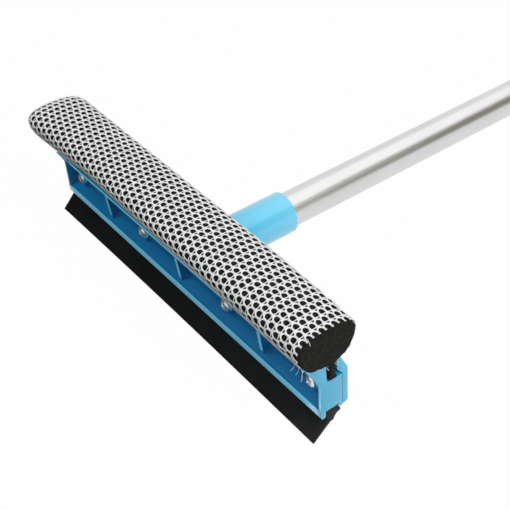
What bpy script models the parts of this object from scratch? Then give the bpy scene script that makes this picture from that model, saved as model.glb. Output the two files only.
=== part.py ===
"""Telescopic window squeegee: a clamp holds a rubber blade and a netted sponge on a twist-lock pole.

Head frame: X runs along the head, Y from the clamp's front face back along the pole, Z up towards the sponge,
with zero on the pole's axis. One empty then puts the whole squeegee on the surface that it lies on.
"""
import math

import bmesh
import bpy
from mathutils import Matrix, Vector

for old in list(bpy.data.objects):
    bpy.data.objects.remove(old, do_unlink=True)

MM = 0.001

# Clearances shared by all pieces
FIT_GAP = 0.3 * MM
CUT_OVERRUN = 2.0 * MM
WELD_DISTANCE = 0.01 * MM

# Clamp: the two blue mouldings that run the length of the head
HEAD_LENGTH = 250.0 * MM
CLAMP_DEPTH = 17.0 * MM
CLAMP_RISE = 19.4 * MM
CLAMP_DROP = 12.5 * MM
EDGE_ROUNDING = 0.8 * MM

# Front moulding
FRONT_BODY_DEPTH = 13.3 * MM
FRONT_LIP_DROP = 4.2 * MM
FRONT_LIP_THICKNESS = 3.0 * MM
FLARE_REACH = 6.8 * MM
FLARE_RISE = 12.8 * MM
FIN_FOOT = 4.1 * MM
FIN_LEAN = 0.6 * MM
GROOVE_RISE = 7.1 * MM
END_WALL = 1.6 * MM
PAN_DEPTH = 6.2 * MM
PAN_WALL_TOP = 2.5 * MM
PAN_FLOOR_DROP = 11.0 * MM
PAN_FLOOR_SLOPE = 3.6 * MM
PAN_LIP_BACK = 1.2 * MM
PAN_ROUNDING = 2.4 * MM
FIN_THICKNESS = 2.1 * MM
FLARE_THICKNESS = 1.3 * MM
RIB_THICKNESS = 1.3 * MM
RIB_RECESS = 2.6 * MM
RIB_END_INSET = 50.0 * MM
BOSS_DIAMETER = 9.4 * MM
BOSS_HEIGHT = 1.2 * MM

# Rear moulding
REAR_TOP_CHAMFER = 10.0 * MM
REAR_TOP_LEAN = 4.8 * MM
REAR_HOOK_DEPTH = 3.2 * MM
REAR_HOOK_RISE = 4.4 * MM
REAR_LIP_REACH = 2.2 * MM
REAR_LIP_THICKNESS = 2.1 * MM
REAR_LIP_SLOPE = 1.5 * MM

# Pole socket, moulded on the rear plate
SOCKET_LENGTH = 59.5 * MM
SOCKET_WALL = 1.9 * MM
SOCKET_RIM_ROUNDING = 1.3 * MM
SOCKET_MOUTH_CHAMFER = 0.7 * MM
SOCKET_FLOOR = 13.0 * MM
GUSSET_THICKNESS = 2.4 * MM
GUSSET_SPREAD = 24.0 * MM
GUSSET_REACH = 22.0 * MM

# Screws through the clamp
SCREW_DROP = 2.0 * MM
SCREW_END_INSET = 12.5 * MM
SCREW_SPACING = 71.2 * MM
SCREW_HEAD_DIAMETER = 7.0 * MM
SCREW_HEAD_HEIGHT = 2.3 * MM
SCREW_SHANK_DIAMETER = 3.2 * MM
SCREW_SHANK_LENGTH = 8.6 * MM
SCREW_POINT_LENGTH = 1.4 * MM
SPIGOT_DIAMETER = 8.0 * MM
SPIGOT_HEIGHT = 3.6 * MM

# Rubber blade
BLADE_ROOT_THICKNESS = 2.4 * MM
BLADE_TIP_THICKNESS = 1.0 * MM
BLADE_REACH = 14.0 * MM
BLADE_LEAN_DEGREES = 45.0
BLADE_STEM_DROP = 3.0 * MM
BLADE_BEAD_HEIGHT = 4.9 * MM
BLADE_BEAD_STEP = 1.0 * MM
BLADE_BACK_RIB = 1.6 * MM

# Sponge and its net
SPONGE_OVERHANG = 12.0 * MM
SPONGE_WIDTH = 34.0 * MM
SPONGE_HEIGHT = 20.0 * MM
SPONGE_CENTRE = 4.6 * MM
SPONGE_END_INSET = 0.4 * MM
NECK_THICKNESS = 3.6 * MM
BULB_HEIGHT = 3.2 * MM
BULB_SPREAD = 1.5 * MM
NET_THICKNESS = 0.8 * MM
NET_END_INSET = 3.5 * MM
NET_TUCK = 6.5 * MM
NET_CELL_PITCH = 16.5 * MM

# Inner tube of the pole, fixed in the socket
INNER_TUBE_DIAMETER = 21.0 * MM
INNER_TUBE_WALL = 1.0 * MM
INNER_TUBE_LENGTH = 474.0 * MM
INSERT_LENGTH = 34.0 * MM
SOCKET_SCREW_INSET = 29.0 * MM
SOCKET_SCREW_SCALE_SHARE = 0.85

# Outer tube of the pole, with its fittings
OUTER_TUBE_DIAMETER = 25.0 * MM
OUTER_TUBE_WALL = 1.0 * MM
OUTER_TUBE_LENGTH = 480.0 * MM
BARE_TUBE_AT_REST = 226.0 * MM
COLLAR_LENGTH = 36.0 * MM
COLLAR_LIP = 5.0 * MM
COLLAR_WALL = 2.2 * MM
COLLAR_TAPER = 6.0 * MM
COLLAR_FLUTE_DEPTH = 0.9 * MM
COLLAR_FLUTES = 14
GRIP_LENGTH = 135.0 * MM
GRIP_WALL = 3.0 * MM
GRIP_SWELL = 1.6 * MM
GRIP_END_BEAD = 5.0 * MM
GRIP_RING_DEPTH = 0.7 * MM
GRIP_RINGS = 9
CAP_PLUG_LENGTH = 14.0 * MM
CAP_FLANGE_LENGTH = 6.0 * MM
CAP_ROUNDING = 2.0 * MM
LOOP_LENGTH = 20.0 * MM
LOOP_WIDTH = 20.0 * MM
LOOP_THICKNESS = 5.0 * MM
LOOP_HOLE_DIAMETER = 10.0 * MM

# Twist lock inside the outer tube
SPINDLE_PLUG_LENGTH = 20.0 * MM
SPINDLE_FLANGE_LENGTH = 2.5 * MM
SPINDLE_ROD_DIAMETER = 6.0 * MM
SPINDLE_ROD_TAIL = 1.2 * MM
EXPANDER_LENGTH = 20.0 * MM
EXPANDER_WALL = 1.8 * MM
EXPANDER_SLOT = 2.0 * MM
EXPANDER_BASE_LENGTH = 4.0 * MM
WEDGE_LENGTH = 11.0 * MM
WEDGE_TAPER = 1.6 * MM
WEDGE_SEAT_LENGTH = 8.0 * MM
WEDGE_TRAVEL = 1.2 * MM
STOP_THICKNESS = 2.4 * MM
STOP_DIAMETER = 11.0 * MM

# Shares, counts and angles that set how the shapes are drawn
SPONGE_FOOT_SHARE = 0.20
SPONGE_SQUARENESS = 2.7
SPONGE_SAMPLES = 240
NET_ROWS = 18
NET_GAP_SHARE = 0.78
GRIP_RING_SHARES = ((0.0, 0), (0.12, 1), (0.30, 1), (0.42, 0))
ARC_STEPS = 4
TUBE_SIDES = 36
SCREW_SIDES = 16
GRIP_SIDES = 28
BOSS_SIDES = 24
FLUTE_SIDES = 10
SMOOTH_ANGLE = math.radians(32.0)


def material(name, colour, roughness, metallic=0.0):
    """A plain surface: base colour, roughness and metallic value."""
    made = bpy.data.materials.new(name)
    made.use_nodes = True
    shader = made.node_tree.nodes["Principled BSDF"]
    shader.inputs["Base Color"].default_value = (*colour, 1.0)
    shader.inputs["Roughness"].default_value = roughness
    shader.inputs["Metallic"].default_value = metallic
    made.diffuse_color = (*colour, 1.0)
    return made


def empty(name, parent=None, location=(0.0, 0.0, 0.0)):
    """A frame to hang pieces on, with its origin on a joint's axis."""
    made = bpy.data.objects.new(name, None)
    made.location = location
    made.parent = parent
    bpy.context.scene.collection.objects.link(made)
    return made


def piece(name, shape, surface, parent, location=(0.0, 0.0, 0.0), turn=(0.0, 0.0, 0.0)):
    """Turns a finished bmesh into a named, shaded object."""
    bmesh.ops.remove_doubles(shape, verts=shape.verts, dist=WELD_DISTANCE)
    bmesh.ops.recalc_face_normals(shape, faces=shape.faces)
    mesh = bpy.data.meshes.new(name)
    shape.to_mesh(mesh)
    shape.free()
    mesh.shade_smooth()
    mesh.set_sharp_from_angle(angle=SMOOTH_ANGLE)
    if surface:
        mesh.materials.append(surface)
    made = bpy.data.objects.new(name, mesh)
    made.location = location
    made.rotation_euler = turn
    made.parent = parent
    bpy.context.scene.collection.objects.link(made)
    return made


def guide(name, shape, parent, location=(0.0, 0.0, 0.0), turn=(0.0, 0.0, 0.0)):
    """A cutter or an added lump: it shapes another piece and isn't one itself."""
    made = piece(name, shape, None, parent, location, turn)
    made.hide_render = True
    made.display_type = "WIRE"
    return made


def combine(target, other, operation):
    """Adds or cuts another shape with an exact Boolean."""
    step = target.modifiers.new(operation.lower() + "_" + other.name, "BOOLEAN")
    step.operation = operation
    step.solver = "EXACT"
    step.object = other


def fillet(corners, steps=ARC_STEPS):
    """An outline from (y, z, radius) corners, each rounded by an arc where its radius isn't zero."""
    outline = []
    count = len(corners)
    for index, (y, z, radius) in enumerate(corners):
        here = Vector((y, z))
        if radius == 0:
            outline.append(here)
            continue
        before = Vector(corners[index - 1][:2]) - here
        after = Vector(corners[(index + 1) % count][:2]) - here
        half_angle = before.angle(after) / 2
        reach = min(radius / math.tan(half_angle), before.length / 2, after.length / 2)
        real_radius = reach * math.tan(half_angle)
        inward = (before.normalized() + after.normalized()).normalized()
        centre = here + inward * (real_radius / math.sin(half_angle))
        start = here + before.normalized() * reach - centre
        end = here + after.normalized() * reach - centre
        sweep = start.angle_signed(end)
        for step in range(steps + 1):
            outline.append(centre + Matrix.Rotation(-sweep * step / steps, 2) @ start)
    return outline


def prism(outline, start, length):
    """A bar of constant section: a (y, z) outline extruded along X."""
    shape = bmesh.new()
    verts = [shape.verts.new((start, y, z)) for y, z in outline]
    face = shape.faces.new(verts)
    made = bmesh.ops.extrude_face_region(shape, geom=[face])
    moved = [item for item in made["geom"] if isinstance(item, bmesh.types.BMVert)]
    bmesh.ops.translate(shape, verts=moved, vec=(length, 0.0, 0.0))
    return shape


def turned(profile, sides=TUBE_SIDES):
    """A round piece: a closed (radius, y) profile spun about the Y axis, with no edge along the axis."""
    shape = bmesh.new()
    verts = [shape.verts.new((radius, y, 0.0)) for radius, y in profile]
    pairs = [(verts[index - 1], verts[index]) for index in range(len(verts))]
    edges = [shape.edges.new(pair) for pair in pairs if max(vert.co.x for vert in pair) > 0]
    bmesh.ops.spin(shape, geom=verts + edges, cent=(0.0, 0.0, 0.0), axis=(0.0, 1.0, 0.0),
                   angle=math.tau, steps=sides, use_merge=True)
    bmesh.ops.dissolve_degenerate(shape, dist=WELD_DISTANCE, edges=shape.edges)
    bmesh.ops.remove_doubles(shape, verts=shape.verts, dist=WELD_DISTANCE)
    return shape


def rod(radius, start, end, sides=TUBE_SIDES):
    """A solid cylinder along Y."""
    return turned([(0.0, start), (radius, start), (radius, end), (0.0, end)], sides)


def pipe(outer, inner, start, end, sides=TUBE_SIDES):
    """A hollow tube along Y with open ends."""
    return turned([(inner, start), (outer, start), (outer, end), (inner, end)], sides)


def copies(shape, places):
    """One shape repeated at several places, for a guide that works them all at once."""
    pattern = bpy.data.meshes.new("pattern")
    shape.to_mesh(pattern)
    shape.free()
    many = bmesh.new()
    for place in places:
        many.from_mesh(pattern)
        fresh = many.verts[-len(pattern.vertices):]
        bmesh.ops.translate(many, verts=fresh, vec=place)
    bpy.data.meshes.remove(pattern)
    return many


def box(x_span, y_span, z_span):
    """A block between two corners."""
    shape = bmesh.new()
    bmesh.ops.create_cube(shape, size=1.0)
    size = [high - low for low, high in (x_span, y_span, z_span)]
    middle = [(high + low) / 2 for low, high in (x_span, y_span, z_span)]
    bmesh.ops.scale(shape, vec=size, verts=shape.verts)
    bmesh.ops.translate(shape, vec=middle, verts=shape.verts)
    return shape


# Places worked out from the sizes
half_head = HEAD_LENGTH / 2
seam = FRONT_BODY_DEPTH + FIT_GAP
groove_front_top = FIN_FOOT - FIN_LEAN
rear_hook_face = seam - REAR_HOOK_DEPTH
lip_bottom = -CLAMP_DROP - FRONT_LIP_DROP
net_skin = FIT_GAP + NET_THICKNESS
tube_radius = INNER_TUBE_DIAMETER / 2
socket_bore = tube_radius + FIT_GAP
socket_radius = socket_bore + SOCKET_WALL
socket_end = CLAMP_DEPTH + SOCKET_LENGTH
tube_start = CLAMP_DEPTH + SOCKET_FLOOR + FIT_GAP
tube_end = tube_start + INNER_TUBE_LENGTH
tube_bore = tube_radius - INNER_TUBE_WALL
outer_screw = half_head - SCREW_END_INSET
inner_screw = outer_screw - SCREW_SPACING
screw_offsets = (-outer_screw, -inner_screw, inner_screw, outer_screw)
screw_places = [(offset, 0.0, -SCREW_DROP) for offset in screw_offsets]
screw_seat = PAN_DEPTH - BOSS_HEIGHT
outer_radius = OUTER_TUBE_DIAMETER / 2
outer_bore = outer_radius - OUTER_TUBE_WALL
collar_start = socket_end + BARE_TUBE_AT_REST
outer_start = collar_start + COLLAR_LIP + FIT_GAP
outer_end = outer_start + OUTER_TUBE_LENGTH
cap_end = outer_end + CAP_FLANGE_LENGTH + LOOP_LENGTH + FIT_GAP
sponge_far_end = -half_head - SPONGE_OVERHANG


neck_front = (groove_front_top + rear_hook_face - NECK_THICKNESS) / 2
neck_back = neck_front + NECK_THICKNESS
foam_foot = CLAMP_RISE + FIT_GAP + net_skin


def lobe_point(angle, skin):
    """A point on the sponge's lobe, a superellipse narrowed at its foot; skin sets it outside the foam."""
    power = 2 / SPONGE_SQUARENESS
    across = math.copysign(abs(math.cos(angle)) ** power, math.cos(angle))
    up = math.copysign(abs(math.sin(angle)) ** power, math.sin(angle))
    half_height = SPONGE_HEIGHT / 2
    y = SPONGE_CENTRE + (SPONGE_WIDTH / 2 * (1 + SPONGE_FOOT_SHARE * up) + skin) * across
    return Vector((y, foam_foot + half_height + (half_height + skin) * up))


def even_angles():
    """Angles round the lobe from the neck's back to its front, at even steps along the net's outer face."""
    foot = foam_foot - net_skin
    samples = [math.tau * step / SPONGE_SAMPLES - math.pi / 2 for step in range(1, SPONGE_SAMPLES)]
    turns = []
    for angle in samples:
        y, _ = lobe_point(angle, net_skin)
        behind = angle < math.pi / 2 and y > neck_back + net_skin
        ahead = angle > math.pi / 2 and y < neck_front - net_skin
        if behind or ahead:
            turns.append(angle)
    before = Vector((neck_back + net_skin, foot))
    travelled = []
    total = 0.0
    for angle in turns:
        here = lobe_point(angle, net_skin)
        total += (here - before).length
        travelled.append(total)
        before = here
    total += (Vector((neck_front - net_skin, foot)) - before).length
    chosen = []
    for row in range(1, NET_ROWS):
        wanted = total * row / NET_ROWS
        after = next(index for index, length in enumerate(travelled) if length >= wanted)
        span = travelled[after] - travelled[after - 1]
        share = (wanted - travelled[after - 1]) / span
        chosen.append(turns[after - 1] + (turns[after] - turns[after - 1]) * share)
    return chosen


lobe_angles = even_angles()


def sponge_outline(skin, depth):
    """The lobe and the neck's sides: skin sets them outside the foam, and the sides reach down by depth."""
    foot = foam_foot - skin
    back = neck_back + skin
    front = neck_front - skin
    lobe = [lobe_point(angle, skin) for angle in lobe_angles]
    sides = [Vector((front, foot)), Vector((front, foam_foot - depth))]
    return [Vector((back, foam_foot - depth)), Vector((back, foot))] + lobe + sides


net_depth = net_skin + FIT_GAP + NET_TUCK
net_outer_line = sponge_outline(net_skin, net_depth)

# The blade's section: it leaves the slot under the front lip and leans forward to a thin edge
lean = math.radians(BLADE_LEAN_DEGREES)
blade_way = Vector((-math.sin(lean), -math.cos(lean)))
blade_side = Vector((math.cos(lean), -math.sin(lean)))
bead_front = FRONT_LIP_THICKNESS + FIT_GAP
bead_back = seam - REAR_LIP_REACH - FIT_GAP
bead_top = -CLAMP_DROP - FIT_GAP
stem_front = Vector((bead_front + BLADE_BEAD_STEP, lip_bottom - BLADE_STEM_DROP))
tip_front = stem_front + blade_way * BLADE_REACH
tip_back = tip_front + blade_side * BLADE_TIP_THICKNESS
stem_back = stem_front + blade_side * BLADE_ROOT_THICKNESS
lowest = min(tip_front.y, tip_back.y)

# Materials
blue_plastic = material("blue_moulding", (0.19, 0.46, 0.62), 0.38)
black_rubber = material("blade_rubber", (0.012, 0.013, 0.013), 0.5)
charcoal_foam = material("foam", (0.022, 0.022, 0.021), 0.95)
white_net = material("net_yarn", (0.76, 0.77, 0.76), 0.8)
zinc_steel = material("zinc_screw", (0.62, 0.63, 0.64), 0.28, 1.0)
satin_tube = material("satin_tube", (0.66, 0.67, 0.67), 0.3, 1.0)
dark_plastic = material("dark_fitting", (0.035, 0.037, 0.04), 0.45)
pale_nylon = material("lock_nylon", (0.72, 0.71, 0.66), 0.5)
soft_grip = material("grip_rubber", (0.02, 0.021, 0.022), 0.75)

# The squeegee lies on the blade's edge, with its origin below the middle of its length
front_reach = min(y for y, z in net_outer_line)
squeegee = empty("squeegee", location=(SPONGE_OVERHANG / 2, -(front_reach + cap_end) / 2, -lowest))
lock_axis = empty("lock_axis", squeegee, (0.0, tube_end, 0.0))
handle_slide = empty("handle_slide", lock_axis, (0.0, collar_start - tube_end, 0.0))


def front_clamp():
    """Front moulding: end walls and lips round a shallow pan, stiffened by cross ribs and screw bosses."""
    shoulder = CLAMP_RISE - FLARE_RISE
    wall = fillet([
        (FRONT_BODY_DEPTH, -CLAMP_DROP, 0),
        (FRONT_LIP_THICKNESS, -CLAMP_DROP, 0),
        (FRONT_LIP_THICKNESS, lip_bottom, FRONT_LIP_THICKNESS / 2),
        (0.0, lip_bottom, FRONT_LIP_THICKNESS / 2),
        (0.0, shoulder, FLARE_RISE),
        (-FLARE_REACH, CLAMP_RISE, EDGE_ROUNDING),
        (groove_front_top, CLAMP_RISE, EDGE_ROUNDING),
        (FIN_FOOT, GROOVE_RISE, EDGE_ROUNDING),
        (FRONT_BODY_DEPTH, GROOVE_RISE, 0),
    ])
    made = piece("front_clamp", prism(wall, -half_head, HEAD_LENGTH), blue_plastic, squeegee)

    fin_front = FIN_FOOT - FIN_THICKNESS
    pan_front = -FLARE_REACH - CUT_OVERRUN
    pan = fillet([
        (pan_front, -PAN_FLOOR_DROP, 0),
        (PAN_LIP_BACK, -PAN_FLOOR_DROP, EDGE_ROUNDING),
        (PAN_DEPTH, -PAN_FLOOR_DROP + PAN_FLOOR_SLOPE, PAN_ROUNDING),
        (PAN_DEPTH, PAN_WALL_TOP, PAN_ROUNDING),
        (fin_front, GROOVE_RISE, PAN_ROUNDING),
        (-FLARE_REACH, CLAMP_RISE - FLARE_THICKNESS, 0),
        (pan_front, CLAMP_RISE - FLARE_THICKNESS, 0),
    ])
    pan_length = HEAD_LENGTH - END_WALL * 2
    combine(made, guide("pan_cutter", prism(pan, -pan_length / 2, pan_length), squeegee), "DIFFERENCE")

    rib = [
        (RIB_RECESS, -PAN_FLOOR_DROP - FIT_GAP),
        (PAN_DEPTH + FIT_GAP, -PAN_FLOOR_DROP - FIT_GAP),
        (PAN_DEPTH + FIT_GAP, PAN_WALL_TOP),
        (fin_front + FIT_GAP, GROOVE_RISE),
        (RIB_RECESS - FLARE_REACH, CLAMP_RISE - FLARE_THICKNESS - FLARE_REACH / 2),
    ]
    outer_rib = half_head - RIB_END_INSET
    rib_places = [(x, 0.0, 0.0) for x in (-outer_rib, 0.0, outer_rib)]
    ribs = copies(prism(rib, -RIB_THICKNESS / 2, RIB_THICKNESS), rib_places)
    combine(made, guide("cross_ribs", ribs, squeegee), "UNION")
    boss = rod(BOSS_DIAMETER / 2, screw_seat, PAN_DEPTH + FIT_GAP, BOSS_SIDES)
    combine(made, guide("screw_bosses", copies(boss, screw_places), squeegee), "UNION")
    hole = SCREW_SHANK_DIAMETER / 2 + FIT_GAP
    spigot_room = SPIGOT_DIAMETER / 2 + FIT_GAP
    step = FRONT_BODY_DEPTH - SPIGOT_HEIGHT
    drill = turned([
        (0.0, -CUT_OVERRUN), (hole, -CUT_OVERRUN), (hole, step), (spigot_room, step),
        (spigot_room, FRONT_BODY_DEPTH + CUT_OVERRUN), (0.0, FRONT_BODY_DEPTH + CUT_OVERRUN),
    ], BOSS_SIDES)
    combine(made, guide("screw_drills", copies(drill, screw_places), squeegee), "DIFFERENCE")
    return made


def rear_clamp():
    """Rear moulding: a chamfered plate with a hook for the sponge's bulb, a blade lip and the pole socket."""
    hook_top = CLAMP_RISE - EDGE_ROUNDING
    plate = fillet([
        (seam, -CLAMP_DROP - FIT_GAP, 0),
        (seam, GROOVE_RISE, 0),
        (rear_hook_face, GROOVE_RISE + REAR_HOOK_RISE, EDGE_ROUNDING),
        (rear_hook_face, hook_top, 0),
        (rear_hook_face + EDGE_ROUNDING, CLAMP_RISE, 0),
        (CLAMP_DEPTH - REAR_TOP_LEAN, CLAMP_RISE, EDGE_ROUNDING),
        (CLAMP_DEPTH, CLAMP_RISE - REAR_TOP_CHAMFER, EDGE_ROUNDING),
        (CLAMP_DEPTH, -CLAMP_DROP - EDGE_ROUNDING, EDGE_ROUNDING / 2),
        (seam - REAR_LIP_SLOPE, -CLAMP_DROP - FIT_GAP - REAR_LIP_THICKNESS, EDGE_ROUNDING / 2),
        (seam - REAR_LIP_REACH, -CLAMP_DROP - FIT_GAP, 0),
    ])
    made = piece("rear_clamp", prism(plate, -half_head, HEAD_LENGTH), blue_plastic, squeegee)

    root = CLAMP_DEPTH - EDGE_ROUNDING * 2
    rim = SOCKET_RIM_ROUNDING
    profile = [(0.0, root), (socket_radius, root)]
    for step in range(ARC_STEPS + 1):
        angle = math.pi / 2 * step / ARC_STEPS
        inset = rim * (1 - math.cos(angle))
        profile.append((socket_radius - inset, socket_end - rim * (1 - math.sin(angle))))
    profile.append((0.0, socket_end))
    combine(made, guide("socket_body", turned(profile), squeegee), "UNION")

    gusset = bmesh.new()
    low, high = -GUSSET_THICKNESS / 2, GUSSET_THICKNESS / 2
    reach = CLAMP_DEPTH + GUSSET_REACH
    spread = socket_radius + GUSSET_SPREAD
    corners = [(-spread, root), (spread, root), (spread, CLAMP_DEPTH + GUSSET_THICKNESS),
               (socket_bore, reach), (-socket_bore, reach), (-spread, CLAMP_DEPTH + GUSSET_THICKNESS)]
    face = gusset.faces.new([gusset.verts.new((x, y, low)) for x, y in corners])
    made_face = bmesh.ops.extrude_face_region(gusset, geom=[face])
    moved = [item for item in made_face["geom"] if isinstance(item, bmesh.types.BMVert)]
    bmesh.ops.translate(gusset, verts=moved, vec=(0.0, 0.0, high - low))
    combine(made, guide("gusset", gusset, squeegee), "UNION")

    spigot = rod(SPIGOT_DIAMETER / 2, seam - SPIGOT_HEIGHT, seam + FIT_GAP, BOSS_SIDES)
    combine(made, guide("spigots", copies(spigot, screw_places), squeegee), "UNION")

    chamfer = SOCKET_MOUTH_CHAMFER
    bore = turned([
        (0.0, CLAMP_DEPTH + SOCKET_FLOOR), (socket_bore, CLAMP_DEPTH + SOCKET_FLOOR),
        (socket_bore, socket_end - chamfer), (socket_bore + chamfer, socket_end),
        (socket_bore + chamfer, socket_end + CUT_OVERRUN), (0.0, socket_end + CUT_OVERRUN),
    ])
    combine(made, guide("socket_bore", bore, squeegee), "DIFFERENCE")
    combine(made, socket_screw_drill("socket_screw_hole"), "DIFFERENCE")
    pilot_end = screw_seat + SCREW_SHANK_LENGTH + FIT_GAP
    pilot = rod(SCREW_SHANK_DIAMETER / 2 + FIT_GAP, seam - SPIGOT_HEIGHT - CUT_OVERRUN, pilot_end, BOSS_SIDES)
    combine(made, guide("pilot_drills", copies(pilot, screw_places), squeegee), "DIFFERENCE")
    return made


def socket_screw_drill(name):
    """The hole for the small screw that pins the tube in its socket, drilled from below."""
    drill = rod(SCREW_SHANK_DIAMETER * SOCKET_SCREW_SCALE_SHARE / 2 + FIT_GAP, 0.0,
                socket_radius + CUT_OVERRUN, BOSS_SIDES)
    place = (0.0, socket_end - SOCKET_SCREW_INSET, 0.0)
    return guide(name, drill, squeegee, place, (-math.pi / 2, 0.0, 0.0))


def screw_shape(scale_share=1.0):
    """A pan-head screw along Y, its seat at zero and its domed head towards -Y."""
    head = SCREW_HEAD_DIAMETER / 2 * scale_share
    height = SCREW_HEAD_HEIGHT * scale_share
    shank = SCREW_SHANK_DIAMETER / 2 * scale_share
    length = (SCREW_SHANK_LENGTH - FIT_GAP) * scale_share
    point = SCREW_POINT_LENGTH * scale_share
    profile = [(0.0, -height)]
    for step in range(1, ARC_STEPS + 1):
        angle = math.pi / 2 * step / ARC_STEPS
        profile.append((head * math.sin(angle), -height * (1 + math.cos(angle)) / 2))
    profile += [(head, 0.0), (shank, 0.0), (shank, length - point), (0.0, length)]
    return turned(profile, SCREW_SIDES)


def rubber_blade():
    """Extruded blade: a ribbed bead held in the clamp's slot, and a thin tapering wiper."""
    step = BLADE_BEAD_STEP
    bead_bottom = bead_top - BLADE_BEAD_HEIGHT
    back_rib = stem_back + Vector((BLADE_BACK_RIB, 0.0))
    lip_foot = bead_top - REAR_LIP_THICKNESS - FIT_GAP
    section = fillet([
        (bead_front, bead_top, 0),
        (bead_back, bead_top, 0),
        (bead_back, lip_foot, 0),
        (bead_back + step, lip_foot - FIT_GAP, step / 3),
        (bead_back + step, bead_bottom + step / 2, step / 3),
        (bead_back - step, bead_bottom, step / 3),
        (back_rib.x + step, back_rib.y + step * 2, step / 3),
        (back_rib.x, back_rib.y, step / 3),
        (stem_back.x, stem_back.y, step),
        (tip_back.x, tip_back.y, 0),
        (tip_front.x, tip_front.y, 0),
        (stem_front.x, stem_front.y, BLADE_ROOT_THICKNESS),
        (bead_front, lip_bottom, 0),
    ])
    return piece("rubber_blade", prism(section, -half_head, HEAD_LENGTH), black_rubber, squeegee)


def sponge_core():
    """Foam bar: a wide lobe on top, a neck through the clamp's groove and a bulb that locks it there."""
    neck_depth = foam_foot - GROOVE_RISE - FIT_GAP - BULB_HEIGHT
    outline = sponge_outline(0.0, neck_depth)
    bulb_floor = GROOVE_RISE + FIT_GAP
    bulb = fillet([
        (neck_front - BULB_SPREAD / 3, bulb_floor, EDGE_ROUNDING),
        (neck_back + BULB_SPREAD, bulb_floor, EDGE_ROUNDING),
        (neck_back + BULB_SPREAD, bulb_floor + BULB_HEIGHT / 2, EDGE_ROUNDING),
    ])
    length = half_head - SPONGE_END_INSET - sponge_far_end
    return piece("sponge_core", prism(outline + bulb, sponge_far_end, length), charcoal_foam, squeegee)


def net_sleeve():
    """The net round the sponge: a thin skin with six-sided gaps, its plain edges tucked in beside the neck.

    A place on the net is (row, x): the row counts along the section's corners, so each facet between two rows
    is flat, and each cell is centred on one row and reaches to the rows before and after it.
    """
    outer = net_outer_line
    inner = sponge_outline(FIT_GAP, net_depth)
    start = sponge_far_end
    end = half_head - NET_END_INSET
    cells = round((end - start) / NET_CELL_PITCH)
    pitch = (end - start) / cells
    flat_half, corner_half = pitch / 6, pitch / 3
    first_row, last_row = 2, NET_ROWS
    shape = bmesh.new()

    def corner(line, row, x):
        before = min(int(row), len(line) - 2)
        y, z = line[before].lerp(line[before + 1], row - before)
        return shape.verts.new((x, y, z))

    def panel(corners):
        for line in (outer, inner):
            shape.faces.new([corner(line, row, x) for row, x in corners])

    def rim(first, second):
        outside = [corner(outer, *first), corner(outer, *second)]
        inside = [corner(inner, *second), corner(inner, *first)]
        shape.faces.new(outside + inside)

    def centres(row):
        shift = 0.5 if row % 2 == 0 else 1.0
        count = cells if row % 2 == 0 else cells - 1
        return [start + pitch * (number + shift) for number in range(count)]

    def cell(row, x, share):
        flat, wide, reach = flat_half * share, corner_half * share, share
        return [(row - reach, x - flat), (row - reach, x + flat), (row, x + wide),
                (row + reach, x + flat), (row + reach, x - flat), (row, x - wide)]

    for row in range(first_row, last_row + 1):
        for x in centres(row):
            border = cell(row, x, 1.0)
            if row == first_row:
                panel(border[2:])
            elif row == last_row:
                panel(border[:3] + border[5:])
            else:
                gap = cell(row, x, NET_GAP_SHARE)
                for side in range(len(gap)):
                    panel([border[side - 1], border[side], gap[side], gap[side - 1]])
                    rim(gap[side - 1], gap[side])

    for row in range(first_row, last_row):
        even, odd = (row, row + 1) if row % 2 == 0 else (row + 1, row)
        first, last = centres(even)[0], centres(even)[-1]
        panel([(even, start), (even, first - corner_half), (odd, first - flat_half), (odd, start)])
        panel([(even, end), (even, last + corner_half), (odd, last + flat_half), (odd, end)])

    cell_corners = [x + way for x in centres(first_row) for way in (-corner_half, corner_half)]
    edge_places = [start] + cell_corners + [end]
    hems = ((0, 1, first_row), (last_row + 2, last_row + 1, last_row))
    for edge_row, foot_row, lobe_row in hems:
        panel([(edge_row, start), (edge_row, end), (foot_row, end), (foot_row, start)])
        panel([(foot_row, end), (foot_row, start)] + [(lobe_row, x) for x in edge_places])
        rim((edge_row, start), (edge_row, end))
    for row in range(last_row + 2):
        for x in (start, end):
            rim((row, x), (row + 1, x))
    return piece("net_sleeve", shape, white_net, squeegee)


def inner_tube():
    """Aluminium tube that the socket holds, pinned by the small screw below."""
    made = piece("inner_tube", pipe(tube_radius, tube_bore, tube_start, tube_end), satin_tube, squeegee)
    combine(made, socket_screw_drill("tube_screw_hole"), "DIFFERENCE")
    return made


def tube_insert():
    """Plug that backs the thin tube where the socket screw bites."""
    shape = rod(tube_bore - FIT_GAP, tube_start, tube_start + INSERT_LENGTH)
    made = piece("tube_insert", shape, pale_nylon, squeegee)
    combine(made, socket_screw_drill("insert_screw_hole"), "DIFFERENCE")
    return made


def lock_spindle():
    """Plug pressed in the tube's end, with the threaded rod that the lock turns on."""
    plug = tube_bore - FIT_GAP
    flange_start = FIT_GAP
    flange_end = flange_start + SPINDLE_FLANGE_LENGTH
    rod_end = flange_end + EXPANDER_LENGTH + WEDGE_LENGTH - WEDGE_SEAT_LENGTH + WEDGE_TRAVEL + STOP_THICKNESS
    rod_radius = SPINDLE_ROD_DIAMETER / 2
    shape = turned([
        (0.0, -SPINDLE_PLUG_LENGTH), (plug, -SPINDLE_PLUG_LENGTH), (plug, flange_start),
        (tube_radius, flange_start), (tube_radius, flange_end), (rod_radius, flange_end),
        (rod_radius, rod_end + SPINDLE_ROD_TAIL), (0.0, rod_end + SPINDLE_ROD_TAIL),
    ])
    return piece("lock_spindle", shape, pale_nylon, squeegee, (0.0, tube_end, 0.0))


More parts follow.
